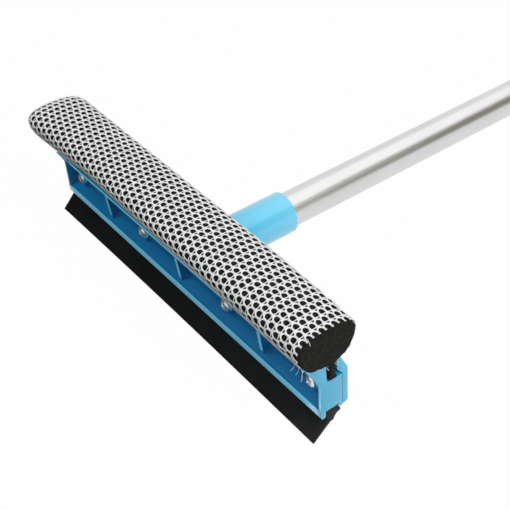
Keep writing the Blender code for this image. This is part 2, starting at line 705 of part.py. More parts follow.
def lock_expander():
    """Split sleeve that the wedge spreads against the outer tube's bore."""
    start = FIT_GAP + SPINDLE_FLANGE_LENGTH + FIT_GAP
    end = start + EXPANDER_LENGTH
    outer = outer_bore - FIT_GAP
    throat = SPINDLE_ROD_DIAMETER / 2 + FIT_GAP
    mouth = outer - EXPANDER_WALL
    narrow = mouth - WEDGE_TAPER
    shape = turned([
        (throat, start), (outer, start), (outer, end), (mouth, end),
        (narrow, end - WEDGE_SEAT_LENGTH), (narrow, start + EXPANDER_BASE_LENGTH),
        (throat, start + EXPANDER_BASE_LENGTH),
    ])
    made = piece("lock_expander", shape, pale_nylon, lock_axis)
    slot = box((-EXPANDER_SLOT / 2, EXPANDER_SLOT / 2), (start + EXPANDER_BASE_LENGTH, end + CUT_OVERRUN),
               (-outer - CUT_OVERRUN, outer + CUT_OVERRUN))
    combine(made, guide("expander_slot", slot, lock_axis), "DIFFERENCE")
    return made


def lock_wedge():
    """Cone nut on the threaded rod: twisting the handle draws it in and out of the split sleeve."""
    sleeve_end = FIT_GAP + SPINDLE_FLANGE_LENGTH + FIT_GAP + EXPANDER_LENGTH
    start = sleeve_end - WEDGE_SEAT_LENGTH
    mouth = outer_bore - FIT_GAP - EXPANDER_WALL - FIT_GAP
    narrow = mouth - WEDGE_TAPER
    bore = SPINDLE_ROD_DIAMETER / 2 + FIT_GAP
    shape = turned([
        (bore, start), (narrow, start), (mouth, sleeve_end),
        (mouth, start + WEDGE_LENGTH), (bore, start + WEDGE_LENGTH),
    ])
    return piece("lock_wedge", shape, dark_plastic, lock_axis)


def lock_stop():
    """Ring on the rod's end that keeps the wedge from running off."""
    sleeve_end = FIT_GAP + SPINDLE_FLANGE_LENGTH + FIT_GAP + EXPANDER_LENGTH
    start = sleeve_end - WEDGE_SEAT_LENGTH + WEDGE_LENGTH + WEDGE_TRAVEL
    bore = SPINDLE_ROD_DIAMETER / 2 + FIT_GAP
    shape = pipe(STOP_DIAMETER / 2, bore, start, start + STOP_THICKNESS)
    return piece("lock_stop", shape, zinc_steel, squeegee, (0.0, tube_end, 0.0))


def outer_tube():
    """Aluminium tube that slides over the inner one."""
    start = outer_start - collar_start
    shape = pipe(outer_radius, outer_bore, start, start + OUTER_TUBE_LENGTH)
    return piece("outer_tube", shape, satin_tube, handle_slide)


def mouth_collar():
    """Fluted collar on the outer tube's mouth, which guides the inner tube and gives the fingers a hold."""
    barrel = outer_radius + FIT_GAP + COLLAR_WALL
    nose = tube_radius + FIT_GAP + COLLAR_WALL
    guide_bore = tube_radius + FIT_GAP
    seat_bore = outer_radius + FIT_GAP
    shape = turned([
        (guide_bore, 0.0), (nose, 0.0), (barrel, COLLAR_TAPER), (barrel, COLLAR_LENGTH - EDGE_ROUNDING),
        (barrel - EDGE_ROUNDING, COLLAR_LENGTH), (seat_bore, COLLAR_LENGTH), (seat_bore, COLLAR_LIP),
        (guide_bore, COLLAR_LIP),
    ], COLLAR_FLUTES * 4)
    made = piece("mouth_collar", shape, dark_plastic, handle_slide)
    radius = COLLAR_FLUTE_DEPTH * 2
    away = barrel + radius - COLLAR_FLUTE_DEPTH
    turns = [math.tau * number / COLLAR_FLUTES for number in range(COLLAR_FLUTES)]
    places = [(away * math.sin(turn), 0.0, away * math.cos(turn)) for turn in turns]
    flute = rod(radius, COLLAR_TAPER + EDGE_ROUNDING, COLLAR_LENGTH - EDGE_ROUNDING * 3, FLUTE_SIDES)
    combine(made, guide("collar_flutes", copies(flute, places), handle_slide), "DIFFERENCE")
    return made


def hand_grip():
    """Rubber sleeve at the outer tube's end, swelling a little in the middle and ringed for the hand."""
    bore = outer_radius + FIT_GAP
    base = bore + GRIP_WALL
    end = outer_end - collar_start
    start = end - GRIP_LENGTH
    profile = [(bore, end), (bore, start), (base - EDGE_ROUNDING, start), (base, start + EDGE_ROUNDING)]
    ring_start = start + GRIP_END_BEAD
    ring_pitch = (GRIP_LENGTH - GRIP_END_BEAD * 2) / GRIP_RINGS
    for number in range(GRIP_RINGS):
        for share, dip in GRIP_RING_SHARES:
            along = (number + share) * ring_pitch
            swell = GRIP_SWELL * math.sin(math.pi * along / (ring_pitch * GRIP_RINGS))
            profile.append((base + swell - GRIP_RING_DEPTH * dip, ring_start + along))
    profile += [(base, end - GRIP_END_BEAD), (base, end)]
    return piece("hand_grip", turned(profile, GRIP_SIDES), soft_grip, handle_slide)


def end_cap():
    """Cap plugged in the outer tube's end, with a flat loop to hang the squeegee up by."""
    seat = outer_end - collar_start + FIT_GAP
    plug = outer_bore - FIT_GAP
    flange = outer_radius + FIT_GAP + GRIP_WALL
    cap_top = seat + CAP_FLANGE_LENGTH
    profile = [(0.0, seat - CAP_PLUG_LENGTH), (plug, seat - CAP_PLUG_LENGTH), (plug, seat), (flange, seat)]
    for step in range(ARC_STEPS + 1):
        angle = math.pi / 2 * step / ARC_STEPS
        inset = CAP_ROUNDING * (1 - math.cos(angle))
        profile.append((flange - inset, cap_top - CAP_ROUNDING * (1 - math.sin(angle))))
    profile.append((0.0, cap_top))
    made = piece("end_cap", turned(profile), dark_plastic, handle_slide)

    loop = bmesh.new()
    half_width = LOOP_WIDTH / 2
    centre = cap_top + LOOP_LENGTH - half_width
    corners = [(half_width, seat + CAP_ROUNDING), (half_width, centre)]
    arc_steps = ARC_STEPS * 4
    for step in range(1, arc_steps):
        angle = math.pi * step / arc_steps
        corners.append((half_width * math.cos(angle), centre + half_width * math.sin(angle)))
    corners += [(-half_width, centre), (-half_width, seat + CAP_ROUNDING)]
    face = loop.faces.new([loop.verts.new((x, y, -LOOP_THICKNESS / 2)) for x, y in corners])
    made_face = bmesh.ops.extrude_face_region(loop, geom=[face])
    moved = [item for item in made_face["geom"] if isinstance(item, bmesh.types.BMVert)]
    bmesh.ops.translate(loop, verts=moved, vec=(0.0, 0.0, LOOP_THICKNESS))
    combine(made, guide("hanging_loop", loop, handle_slide), "UNION")
    hole = rod(LOOP_HOLE_DIAMETER / 2, -LOOP_THICKNESS, LOOP_THICKNESS, BOSS_SIDES)
    drill = guide("hanging_hole", hole, handle_slide, (0.0, centre, 0.0), (math.pi / 2, 0.0, 0.0))
    combine(made, drill, "DIFFERENCE")
    return made


front_clamp()
rear_clamp()
rubber_blade()
sponge_core()
net_sleeve()
for index, (screw_x, _, screw_z) in enumerate(screw_places, 1):
    screw_place = (screw_x, screw_seat - FIT_GAP, screw_z)
    piece(f"clamp_screw_{index}", screw_shape(), zinc_steel, squeegee, screw_place)
socket_screw_place = (0.0, socket_end - SOCKET_SCREW_INSET, -socket_radius - FIT_GAP)
piece("socket_screw", screw_shape(SOCKET_SCREW_SCALE_SHARE), zinc_steel, squeegee, socket_screw_place,
      (math.pi / 2, 0.0, 0.0))
inner_tube()
tube_insert()
lock_spindle()
lock_expander()
lock_wedge()
lock_stop()
outer_tube()
mouth_collar()
hand_grip()
end_cap()
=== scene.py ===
"""Telescopic window squeegee, dressed for its picture, one section for each piece or group of like pieces.

The squeegee lies on its blade's edge: X runs along the head, +Y back along the pole, +Z up to the sponge.
"""
import bisect
import math

import bmesh
import bpy
from mathutils import Matrix, Vector, noise
from mathutils.bvhtree import BVHTree


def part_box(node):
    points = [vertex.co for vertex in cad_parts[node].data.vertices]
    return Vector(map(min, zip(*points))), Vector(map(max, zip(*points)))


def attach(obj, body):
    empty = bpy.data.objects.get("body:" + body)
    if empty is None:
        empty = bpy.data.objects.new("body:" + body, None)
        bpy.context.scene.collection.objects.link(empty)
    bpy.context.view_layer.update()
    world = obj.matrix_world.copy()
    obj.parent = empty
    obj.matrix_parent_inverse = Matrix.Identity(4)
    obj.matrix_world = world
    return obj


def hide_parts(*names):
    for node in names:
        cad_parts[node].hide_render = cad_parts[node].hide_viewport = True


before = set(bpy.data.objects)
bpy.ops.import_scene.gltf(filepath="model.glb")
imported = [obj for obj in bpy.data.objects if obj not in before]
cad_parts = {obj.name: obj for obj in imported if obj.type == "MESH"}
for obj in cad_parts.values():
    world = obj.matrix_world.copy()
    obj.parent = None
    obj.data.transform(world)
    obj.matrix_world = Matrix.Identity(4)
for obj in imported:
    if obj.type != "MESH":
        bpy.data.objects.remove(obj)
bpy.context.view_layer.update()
MM = 0.001
UNIT = 1.0

# Studio: a pale floor that the blade's edge rests on, a white room, soft boxes round the head, and cards
# that darken what the blade, pan and tube mirror. The camera looks along the sponge from its near end.
WHITE = (1.0, 1.0, 1.0, 1.0)
FLOOR_SIZE = 6000 * MM
FLOOR_COLOUR = (0.5, 0.5, 0.5)
FLOOR_WHITE_SHARE = 0.985
SKY_LIGHT = 0.26
HORIZON_LIGHT = 0.02
FULL_SKY_SHARE = 0.6
HEAD_MIDDLE = Vector((0, -400, 40)) * MM
TUBE_MIDDLE = Vector((6, -250, 30)) * MM

# Each soft box: place and size in millimetres, power in watts, if gloss shows it and if matt skins take it.
SOFT_BOXES = {
    "overhead_box": ((0, 150, 1250), 1500, 2.6, True, True),
    "left_box": ((-728, -1030, 1062), 400, 6.0, False, True),
    "side_box": ((980, -330, 860), 600, 11.0, True, True),
    "front_box": ((-142, -1380, 109), 500, 1.2, True, False)}

# The low card darkens what the pan faces, and the other two what the blade and the tube mirror.
LOW_CARD_PLACE = Vector((-690, -1205, 0.3)) * MM
LOW_CARD_SIZES = (1600 * MM, 1600 * MM)
LOW_CARD_GREY = (0.09, 0.09, 0.09)
BLADE_CARD_WAY = Vector((-0.64, -0.68, 0.34))
BLADE_CARD_DISTANCE = 1300 * MM
BLADE_CARD_SIZES = (2400 * MM, 1300 * MM)
BLADE_CARD_GREY = (0.03, 0.032, 0.034)
STREAK_CARD_WAY = Vector((0.781, 0.432, 0.451))
STREAK_CARD_DISTANCE = 1500 * MM
STREAK_CARD_SIZES = (3000 * MM, 1000 * MM)
STREAK_CARD_BROWN = (0.22, 0.20, 0.155)
CAMERA_PLACE = Vector((395.0, -609.1, 396.1)) * MM
CAMERA_AIM = Vector((26.3, -360.5, 30.3)) * MM
CAMERA_TILT_DEGREES = -4.33
CAMERA_LENS = 73.5
SENSOR_WIDTH = 36.0
NEAREST_VIEW = 10 * MM


def add_node(tree, kind, inputs=None, **settings):
    """Adds a shader node, sets its options, and sets or links its inputs by name or number."""
    made = tree.nodes.new(kind)
    for option, value in settings.items():
        setattr(made, option, value)
    for key, value in (inputs or {}).items():
        if isinstance(value, bpy.types.NodeSocket):
            tree.links.new(value, made.inputs[key])
        else:
            made.inputs[key].default_value = value
    return made


def seen_directly(tree):
    """One for rays from the camera and for those that metal or glass sends on, zero for diffuse light."""
    path = add_node(tree, "ShaderNodeLightPath")
    either = add_node(tree, "ShaderNodeMath",
                      {0: path.outputs["Is Camera Ray"], 1: path.outputs["Is Glossy Ray"]},
                      operation="MAXIMUM")
    return add_node(tree, "ShaderNodeMath", {0: either.outputs[0], 1: path.outputs["Is Transmission Ray"]},
                    operation="MAXIMUM").outputs[0]


def white_room():
    """A room that is plain white to look at, and lights the squeegee more from above than from below."""
    world = bpy.data.worlds.new("white_room")
    bpy.context.scene.world = world
    world.use_nodes = True
    tree = world.node_tree
    tree.nodes.clear()
    way = add_node(tree, "ShaderNodeTexCoord").outputs["Generated"]
    height = add_node(tree, "ShaderNodeSeparateXYZ", {"Vector": way}).outputs["Z"]
    level = add_node(tree, "ShaderNodeMapRange", {"Value": height, "From Max": FULL_SKY_SHARE,
                                                  "To Min": HORIZON_LIGHT, "To Max": SKY_LIGHT})
    light = add_node(tree, "ShaderNodeBackground", {"Color": WHITE, "Strength": level.outputs["Result"]})
    white = add_node(tree, "ShaderNodeBackground", {"Color": WHITE, "Strength": 1.0})
    mixed = add_node(tree, "ShaderNodeMixShader",
                     {0: seen_directly(tree), 1: light.outputs[0], 2: white.outputs[0]})
    add_node(tree, "ShaderNodeOutputWorld", {"Surface": mixed.outputs[0]})


def new_object(name, shape):
    """An object in the scene that holds a finished form, which is used up."""
    mesh = bpy.data.meshes.new(name)
    shape.to_mesh(mesh)
    shape.free()
    made = bpy.data.objects.new(name, mesh)
    bpy.context.scene.collection.objects.link(made)
    return made


def studio_sheet(name, sizes, place, turn):
    """A flat sheet of the studio, with an empty material of its own."""
    shape = bmesh.new()
    bmesh.ops.create_grid(shape, x_segments=2, y_segments=2, size=UNIT / 2)
    bmesh.ops.scale(shape, vec=(*sizes, 1.0), verts=shape.verts)
    bmesh.ops.transform(shape, matrix=Matrix.Translation(place) @ turn.to_4x4(), verts=shape.verts)
    sheet = new_object(name, shape)
    cover = bpy.data.materials.new(name)
    cover.use_nodes = True
    cover.node_tree.nodes.clear()
    sheet.data.materials.append(cover)
    return sheet, cover.node_tree


def pale_floor():
    """A wide sheet that looks white, and darkens only a little where the squeegee shades it."""
    _, tree = studio_sheet("floor", (FLOOR_SIZE, FLOOR_SIZE), Vector((0, 0, 0)), Matrix.Identity(3))
    matt = add_node(tree, "ShaderNodeBsdfDiffuse", {"Color": (*FLOOR_COLOUR, 1.0)})
    white = add_node(tree, "ShaderNodeEmission", {"Color": WHITE, "Strength": 1.0})
    share = add_node(tree, "ShaderNodeMath", {0: seen_directly(tree), 1: FLOOR_WHITE_SHARE},
                     operation="MULTIPLY")
    mixed = add_node(tree, "ShaderNodeMixShader",
                     {0: share.outputs[0], 1: matt.outputs[0], 2: white.outputs[0]})
    add_node(tree, "ShaderNodeOutputMaterial", {"Surface": mixed.outputs[0]})


def dark_card(name, sizes, place, facing, colour, soft_light):
    """A card that the camera doesn't see: it keeps white out of gloss, and out of soft light if asked to.

    It is clear from behind, so it shades nothing under it.
    """
    turn = facing.to_track_quat("Z", "Y").to_matrix()
    card, tree = studio_sheet(name, sizes, place, turn)
    card.visible_camera = False
    card.visible_shadow = False
    card.visible_diffuse = soft_light
    behind = add_node(tree, "ShaderNodeNewGeometry").outputs["Backfacing"]
    front = add_node(tree, "ShaderNodeEmission", {"Color": (*colour, 1.0), "Strength": 1.0})
    clear = add_node(tree, "ShaderNodeBsdfTransparent")
    mixed = add_node(tree, "ShaderNodeMixShader", {0: behind, 1: front.outputs[0], 2: clear.outputs[0]})
    add_node(tree, "ShaderNodeOutputMaterial", {"Surface": mixed.outputs[0]})


def soft_box(name, place, size, power, in_gloss, soft_light):
    """A square soft light that faces the head; gloss shows it or not, and it lights matt skins or not."""
    lamp = bpy.data.lights.new(name, "AREA")
    lamp.shape = "SQUARE"
    lamp.size = size
    lamp.energy = power
    holder = bpy.data.objects.new(name, lamp)
    holder.location = place
    holder.visible_glossy = in_gloss
    holder.visible_diffuse = soft_light
    holder.rotation_mode = "QUATERNION"
    holder.rotation_quaternion = (HEAD_MIDDLE - place).to_track_quat("-Z", "Y")
    bpy.context.scene.collection.objects.link(holder)


white_room()
pale_floor()
for name, (place, size, power, in_gloss, soft_light) in SOFT_BOXES.items():
    soft_box(name, Vector(place) * MM, size * MM, power, in_gloss, soft_light)
dark_card("low_card", LOW_CARD_SIZES, LOW_CARD_PLACE, Vector((0, 0, 1)), LOW_CARD_GREY, True)
dark_card("blade_card", BLADE_CARD_SIZES, HEAD_MIDDLE + BLADE_CARD_WAY * BLADE_CARD_DISTANCE,
          -BLADE_CARD_WAY, BLADE_CARD_GREY, False)
dark_card("streak_card", STREAK_CARD_SIZES, TUBE_MIDDLE + STREAK_CARD_WAY * STREAK_CARD_DISTANCE,
          -STREAK_CARD_WAY, STREAK_CARD_BROWN, False)

lens = bpy.data.cameras.new("camera")
lens.lens = CAMERA_LENS
lens.sensor_width = SENSOR_WIDTH
lens.clip_start = NEAREST_VIEW
camera = bpy.data.objects.new("camera", lens)
camera.location = CAMERA_PLACE
camera.rotation_mode = "QUATERNION"
looking = (CAMERA_AIM - CAMERA_PLACE).to_track_quat("-Z", "Y").to_matrix().to_4x4()
tilt = Matrix.Rotation(math.radians(CAMERA_TILT_DEGREES), 4, "Z")
camera.rotation_quaternion = (looking @ tilt).to_quaternion()
bpy.context.scene.collection.objects.link(camera)
bpy.context.scene.camera = camera
bpy.context.scene.view_settings.view_transform = "Standard"

# Clamp: two mouldings of light blue polypropylene that run the length of the head, drawn together by screws.
# The rear one carries the pole's socket, the front one is a shallow pan stiffened by ribs.
WELD_DISTANCE = 0.01 * MM
MOULD_EDGE_RADIUS = 0.28 * MM
FLAT_ANGLE = math.radians(1.0)
SHARP_ANGLE = math.radians(38.0)
SMOOTH_ANGLE = math.radians(35.0)
MOULD_GRAIN_DEPTH = 0.02 * MM
# Painted light and shade of the blue: a painted-shade blue between the lips, the even blue in the open, and
# a painted-light blue with a painted glow on narrow edges.
PAINTED_SHADE_BLUE = (0.0, 0.225, 0.53)
BLUE = (0.006, 0.40, 0.65)
PAINTED_LIGHT_BLUE = (0.29, 0.78, 0.93)
PAINTED_EDGE_GLOW = (0.045, 0.16, 0.26)
OPEN_PAINTED_LIGHT_SHARE = 0.5
REAR_PAINTED_LIGHT_SHARES = (0.53, 0.75)
PAINTED_LIGHT_SLICES = (50, 1, 8)
NARROW_RIB = 4.2 * MM
NARROW_LIP = 8.0 * MM
NARROW_GAIN = 3
FACING_GAIN = 2
WAY_LIMIT_SHARE = 0.8
HOLLOW_REACH = 40 * MM
SKIN_DEPTH = 0.05 * MM
RIB_PLACES_IN_MM = (-75.0, 0.0, 75.0)
RIB_REACH = 0.8 * MM
RIB_GROWTH = 0.65 * MM
RIB_HEIGHT_SHARE = 0.3
RIB_TOP = Vector((1.98, 7.1)) * MM
PAN_FACE_DEPTH = 13.25 * MM
PAN_LEVEL_DEPTH = 19.4 * MM
FLARE_CORNER_LENGTH = 24 * MM
FLARE_CORNER_SHARE = 0.02


def new_material(name, colour, roughness, metallic=0.0):
    """A surface with its even values set, ready for its own patterns."""
    made = bpy.data.materials.new(name)
    made.use_nodes = True
    shader = made.node_tree.nodes["Principled BSDF"]
    shader.inputs["Base Color"].default_value = (*colour, 1.0)
    shader.inputs["Roughness"].default_value = roughness
    shader.inputs["Metallic"].default_value = metallic
    made.diffuse_color = (*colour, 1.0)
    return made, made.node_tree, shader


def new_group(name, inputs, outputs):
    """An empty node group with (name, socket kind, value) inputs and (name, socket kind) outputs."""
    tree = bpy.data.node_groups.new(name, "ShaderNodeTree")
    for label, kind, value in inputs:
        socket = tree.interface.new_socket(name=label, in_out="INPUT", socket_type=kind)
        socket.default_value = value
    for label, kind in outputs:
        tree.interface.new_socket(name=label, in_out="OUTPUT", socket_type=kind)
    return tree, tree.nodes.new("NodeGroupInput"), tree.nodes.new("NodeGroupOutput")


def use_group(tree, group, values):
    """Places a node group in a material with its own values."""
    made = tree.nodes.new("ShaderNodeGroup")
    made.node_tree = group
    for label, value in values.items():
        made.inputs[label].default_value = value
    return made


def skin_group():
    """Slow patches and fine grain in three dimensions, for any moulded, sawn or worn skin."""
    tree, given, result = new_group(
        "surface_skin",
        [("Patch Scale", "NodeSocketFloat", 40.0), ("Grain Scale", "NodeSocketFloat", 2500.0)],
        [("Patch", "NodeSocketFloat"), ("Grain", "NodeSocketFloat")])
    place = add_node(tree, "ShaderNodeTexCoord").outputs["Object"]
    patch = add_node(tree, "ShaderNodeTexNoise", {"Vector": place, "Scale": given.outputs["Patch Scale"],
                                                  "Detail": 4.0, "Roughness": 0.6})
    grain = add_node(tree, "ShaderNodeTexNoise", {"Vector": place, "Scale": given.outputs["Grain Scale"],
                                                  "Detail": 2.0, "Roughness": 0.5})
    tree.links.new(patch.outputs["Fac"], result.inputs["Patch"])
    tree.links.new(grain.outputs["Fac"], result.inputs["Grain"])
    return tree


surface_skin = skin_group()


def vary_colour(tree, shader, factor, dark, light, span=(0.3, 0.7)):
    """Base colour from a dark to a light value, over a span of a pattern's values."""
    ramp = add_node(tree, "ShaderNodeValToRGB", {0: factor})
    for stop, place, colour in zip(ramp.color_ramp.elements, span, (dark, light)):
        stop.position = place
        stop.color = (*colour, 1.0)
    tree.links.new(ramp.outputs["Color"], shader.inputs["Base Color"])
    return ramp


def vary_roughness(tree, shader, factor, low, high):
    """Roughness between two values by a pattern."""
    spread = add_node(tree, "ShaderNodeMapRange",
                      {"Value": factor, "From Min": 0.3, "From Max": 0.7, "To Min": low, "To Max": high})
    tree.links.new(spread.outputs["Result"], shader.inputs["Roughness"])


def relief(tree, shader, height, depth, strength, below=None):
    """A bump of a real depth from a pattern, on top of another bump where one is given."""
    inputs = {"Height": height, "Distance": depth, "Strength": strength}
    if below:
        inputs["Normal"] = below
    bump = add_node(tree, "ShaderNodeBump", inputs)
    tree.links.new(bump.outputs["Normal"], shader.inputs["Normal"])
    return bump.outputs["Normal"]


def tinted(colour, factor):
    """A colour made darker or lighter."""
    return tuple(min(1.0, channel * factor) for channel in colour)


def patchy_skin(tree, shader, colour, patch_scale, grain_scale, shades, roughnesses=None):
    """Slow patches of shade, and of roughness where asked, over a colour; gives back the skin's pattern."""
    skin = use_group(tree, surface_skin, {"Patch Scale": patch_scale, "Grain Scale": grain_scale})
    vary_colour(tree, shader, skin.outputs["Patch"], tinted(colour, shades[0]), tinted(colour, shades[1]))
    if roughnesses:
        vary_roughness(tree, shader, skin.outputs["Patch"], *roughnesses)
    return skin


def moulded_blue():
    """Satin polypropylene: a fine spark-eroded grain and faint slow changes of tone, over painted light and
    shade.
    """
    made, tree, shader = new_material("blue_polypropylene", BLUE, 0.4)
    shader.inputs["Specular IOR Level"].default_value = 0.5
    shader.inputs["Coat Roughness"].default_value = 0.16
    skin = use_group(tree, surface_skin, {"Patch Scale": 30.0, "Grain Scale": 3200.0})
    # The base colour runs from painted shade through the even blue to painted light, by each point's
    # painted-light mark, with slow tone changes over it.
    painted_light = add_node(tree, "ShaderNodeAttribute", attribute_name="painted_light").outputs["Fac"]
    ramp = vary_colour(tree, shader, painted_light, PAINTED_SHADE_BLUE, PAINTED_LIGHT_BLUE, (0.0, 1.0))
    ramp.color_ramp.elements.new(OPEN_PAINTED_LIGHT_SHARE).color = (*BLUE, 1.0)
    tone = add_node(tree, "ShaderNodeMapRange", {"Value": skin.outputs["Patch"], "From Min": 0.3,
                                                 "From Max": 0.7, "To Min": 0.95, "To Max": 1.05})
    mottled = add_node(tree, "ShaderNodeVectorMath", {0: ramp.outputs["Color"], 1: tone.outputs["Result"]},
                       operation="MULTIPLY")
    tree.links.new(mottled.outputs["Vector"], shader.inputs["Base Color"])
    # The coat is thinner where shade is painted.
    gloss = add_node(tree, "ShaderNodeMapRange", {"Value": painted_light, "From Max": OPEN_PAINTED_LIGHT_SHARE,
                                                  "To Min": 0.1, "To Max": 1.0})
    tree.links.new(gloss.outputs["Result"], shader.inputs["Coat Weight"])
    # A painted glow, as emission, on the narrow edges where light is painted.
    edge = add_node(tree, "ShaderNodeMapRange", {"Value": painted_light, "From Min": OPEN_PAINTED_LIGHT_SHARE})
    painted_glow = add_node(tree, "ShaderNodeVectorMath", {0: PAINTED_EDGE_GLOW, 1: edge.outputs["Result"]},
                    operation="MULTIPLY")
    tree.links.new(painted_glow.outputs["Vector"], shader.inputs["Emission Color"])
    shader.inputs["Emission Strength"].default_value = 1.0
    vary_roughness(tree, shader, skin.outputs["Patch"], 0.36, 0.44)
    relief(tree, shader, skin.outputs["Grain"], MOULD_GRAIN_DEPTH, 0.35)
    return made


def to_piece(name, shape, surface, body, replaced, smooth_angle=SMOOTH_ANGLE):
    """Makes a form a smooth-shaded piece that rides on a body and takes the place of a plain one."""
    made = new_object(name, shape)
    made.data.shade_smooth()
    made.data.set_sharp_from_angle(angle=smooth_angle)
    made.data.materials.append(surface)
    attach(made, body)
    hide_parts(replaced)
    return made


def node_form(node):
    """A copy of a plain piece's form, with its points merged and its flat faces joined."""
    shape = bmesh.new()
    shape.from_mesh(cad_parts[node].data)
    bmesh.ops.remove_doubles(shape, verts=shape.verts, dist=WELD_DISTANCE)
    bmesh.ops.dissolve_limit(shape, angle_limit=FLAT_ANGLE, verts=shape.verts, edges=shape.edges)
    return shape


def soften_edges(shape, radius):
    """Rounds every sharp edge, as a mould does."""
    sharp = [edge for edge in shape.edges
             if len(edge.link_faces) == 2 and edge.calc_face_angle() > SHARP_ANGLE]
    bmesh.ops.bevel(shape, geom=sharp, offset=radius, offset_type="OFFSET", segments=2, profile=0.5,
                    affect="EDGES", clamp_overlap=True, material=-1)


def whole(shape):
    """Every point, edge and face of a form."""
    return shape.verts[:] + shape.edges[:] + shape.faces[:]


def narrowness(form, place, normal, way, width):
    """One where a wall's end is much narrower than the width along the way, zero where it is as wide."""
    ahead = form.ray_cast(place, way, width)[3]
    behind = form.ray_cast(place, -way, width)[3]
    if abs(normal.dot(way)) > WAY_LIMIT_SHARE or ahead is None or behind is None:
        return 0.0
    return min(1.0, max(0.0, NARROW_GAIN * (1 - (ahead + behind) / width)))


def cut_across(shape, start, end, counts):
    """Cuts a form into a count of equal slices along each axis, so that it has points to bend or mark."""
    for axis, count in enumerate(counts):
        way = Vector((0, 0, 0))
        way[axis] = 1
        for slice_number in range(1, count):
            place = start.lerp(end, slice_number / count)
            bmesh.ops.bisect_plane(shape, geom=whole(shape), plane_co=place, plane_no=way)


def mark_painted_light(shape):
    """Marks each point's painted light: none between two lips, a half in the open, up to one on a narrow
    edge.

    Light polypropylene looks deep blue in its own shade; here that shade is painted into the colour between
    the lips.
    Light and a glow are painted on narrow wall ends, where thin plastic lets light through.
    """
    form = BVHTree.FromBMesh(shape)
    layer = shape.verts.layers.float.new("painted_light")
    shape.normal_update()
    across = Vector((1, 0, 0))
    upward = Vector((0, 0, 1))
    for vert in shape.verts:
        step = vert.normal * SKIN_DEPTH
        roof = form.ray_cast(vert.co + step, upward, HOLLOW_REACH)[3]
        floor = form.ray_cast(vert.co + step, -upward, HOLLOW_REACH)[3]
        facing = min(1.0, max(0.0, -vert.normal.y * FACING_GAIN))
        edge = narrowness(form, vert.co - step, vert.normal, across, NARROW_RIB)
        if roof is None or floor is None:
            edge = max(edge, narrowness(form, vert.co - step, vert.normal, upward, NARROW_LIP))
            vert[layer] = max(OPEN_PAINTED_LIGHT_SHARE, edge * facing)
        else:
            vert[layer] = edge * facing


def grade_painted_light(shape):
    """Marks painted light on the rear moulding, a little lighter towards the socket's mouth, all of it in
    the open.
    """
    low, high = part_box("rear_clamp")
    layer = shape.verts.layers.float.new("painted_light")
    for vert in shape.verts:
        back = (vert.co.y - low.y) / (high.y - low.y)
        vert[layer] = REAR_PAINTED_LIGHT_SHARES[0] * (1 - back) + REAR_PAINTED_LIGHT_SHARES[1] * back


def reshape_ribs(shape):
    """Thickens the cross ribs, and draws their top corners back so that their edges stand nearly upright."""
    low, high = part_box("front_clamp")
    face = high.y - PAN_FACE_DEPTH
    level = high.z - PAN_LEVEL_DEPTH
    for vert in shape.verts:
        offsets = [vert.co.x - (low.x + high.x) / 2 - place * MM for place in RIB_PLACES_IN_MM]
        nearest = min(offsets, key=abs)
        if abs(nearest) > RIB_REACH:
            continue
        vert.co.x += math.copysign(RIB_GROWTH, nearest)
        offset = Vector((vert.co.y - face, vert.co.z - level)) - RIB_TOP
        if offset.x < -WELD_DISTANCE and offset.y > WELD_DISTANCE:
            moved = RIB_TOP + offset * RIB_HEIGHT_SHARE
            vert.co.y = face + moved.x
            vert.co.z = level + moved.y


def cut_back_flare(shape):
    """Slants the flare's far corner back, so that it ends behind the net."""
    low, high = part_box("front_clamp")
    face = high.y - PAN_FACE_DEPTH
    corner_start = low + Vector((FLARE_CORNER_LENGTH, 0, 0))
    bmesh.ops.bisect_plane(shape, geom=whole(shape), plane_co=corner_start, plane_no=(1, 0, 0))
    for vert in shape.verts:
        if vert.co.x < low.x + WELD_DISTANCE and vert.co.y < face:
            vert.co.y = face + (vert.co.y - face) * FLARE_CORNER_SHARE


blue_polypropylene = moulded_blue()
front_shape = node_form("front_clamp")
reshape_ribs(front_shape)
cut_back_flare(front_shape)
soften_edges(front_shape, MOULD_EDGE_RADIUS)
cut_across(front_shape, *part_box("front_clamp"), PAINTED_LIGHT_SLICES)
mark_painted_light(front_shape)
to_piece("front_clamp_moulding", front_shape, blue_polypropylene, "head", "front_clamp")
rear_shape = node_form("rear_clamp")
soften_edges(rear_shape, MOULD_EDGE_RADIUS)
grade_painted_light(rear_shape)
to_piece("rear_clamp_moulding", rear_shape, blue_polypropylene, "head", "rear_clamp")

# Blade: black natural rubber, extruded with a ribbed bead that the clamp grips, then cut to length. Its thin
# lip leans forward, and bows a little between its ends.
BLADE_BOW = 0.7 * MM
BOW_LIFT_SHARE = 0.15
BLADE_OVERRUN = 2.7 * MM
BLADE_DIVISIONS = 48
BLADE_EDGE_RADIUS = 0.12 * MM
BLACK_RUBBER = (0.0062, 0.0068, 0.0068)
RUBBER_LINE_DEPTH = 0.03 * MM
RUBBER_GRAIN_DEPTH = 0.01 * MM


def lines_group():
    """Fine lines drawn out along one axis, as an extruder's or a drawing die's lip leaves them."""
    tree, given, result = new_group(
        "drawn_lines",
        [("Stretch", "NodeSocketVector", (1.0, 1.0, 1.0))],
        [("Lines", "NodeSocketFloat")])
    place = add_node(tree, "ShaderNodeTexCoord").outputs["Object"]
    drawn = add_node(tree, "ShaderNodeMapping", {"Vector": place, "Scale": given.outputs["Stretch"]})
    lines = add_node(tree, "ShaderNodeTexNoise",
                     {"Vector": drawn.outputs["Vector"], "Scale": 1.0, "Detail": 3.0, "Roughness": 0.65})
    tree.links.new(lines.outputs["Fac"], result.inputs["Lines"])
    return tree


drawn_lines = lines_group()


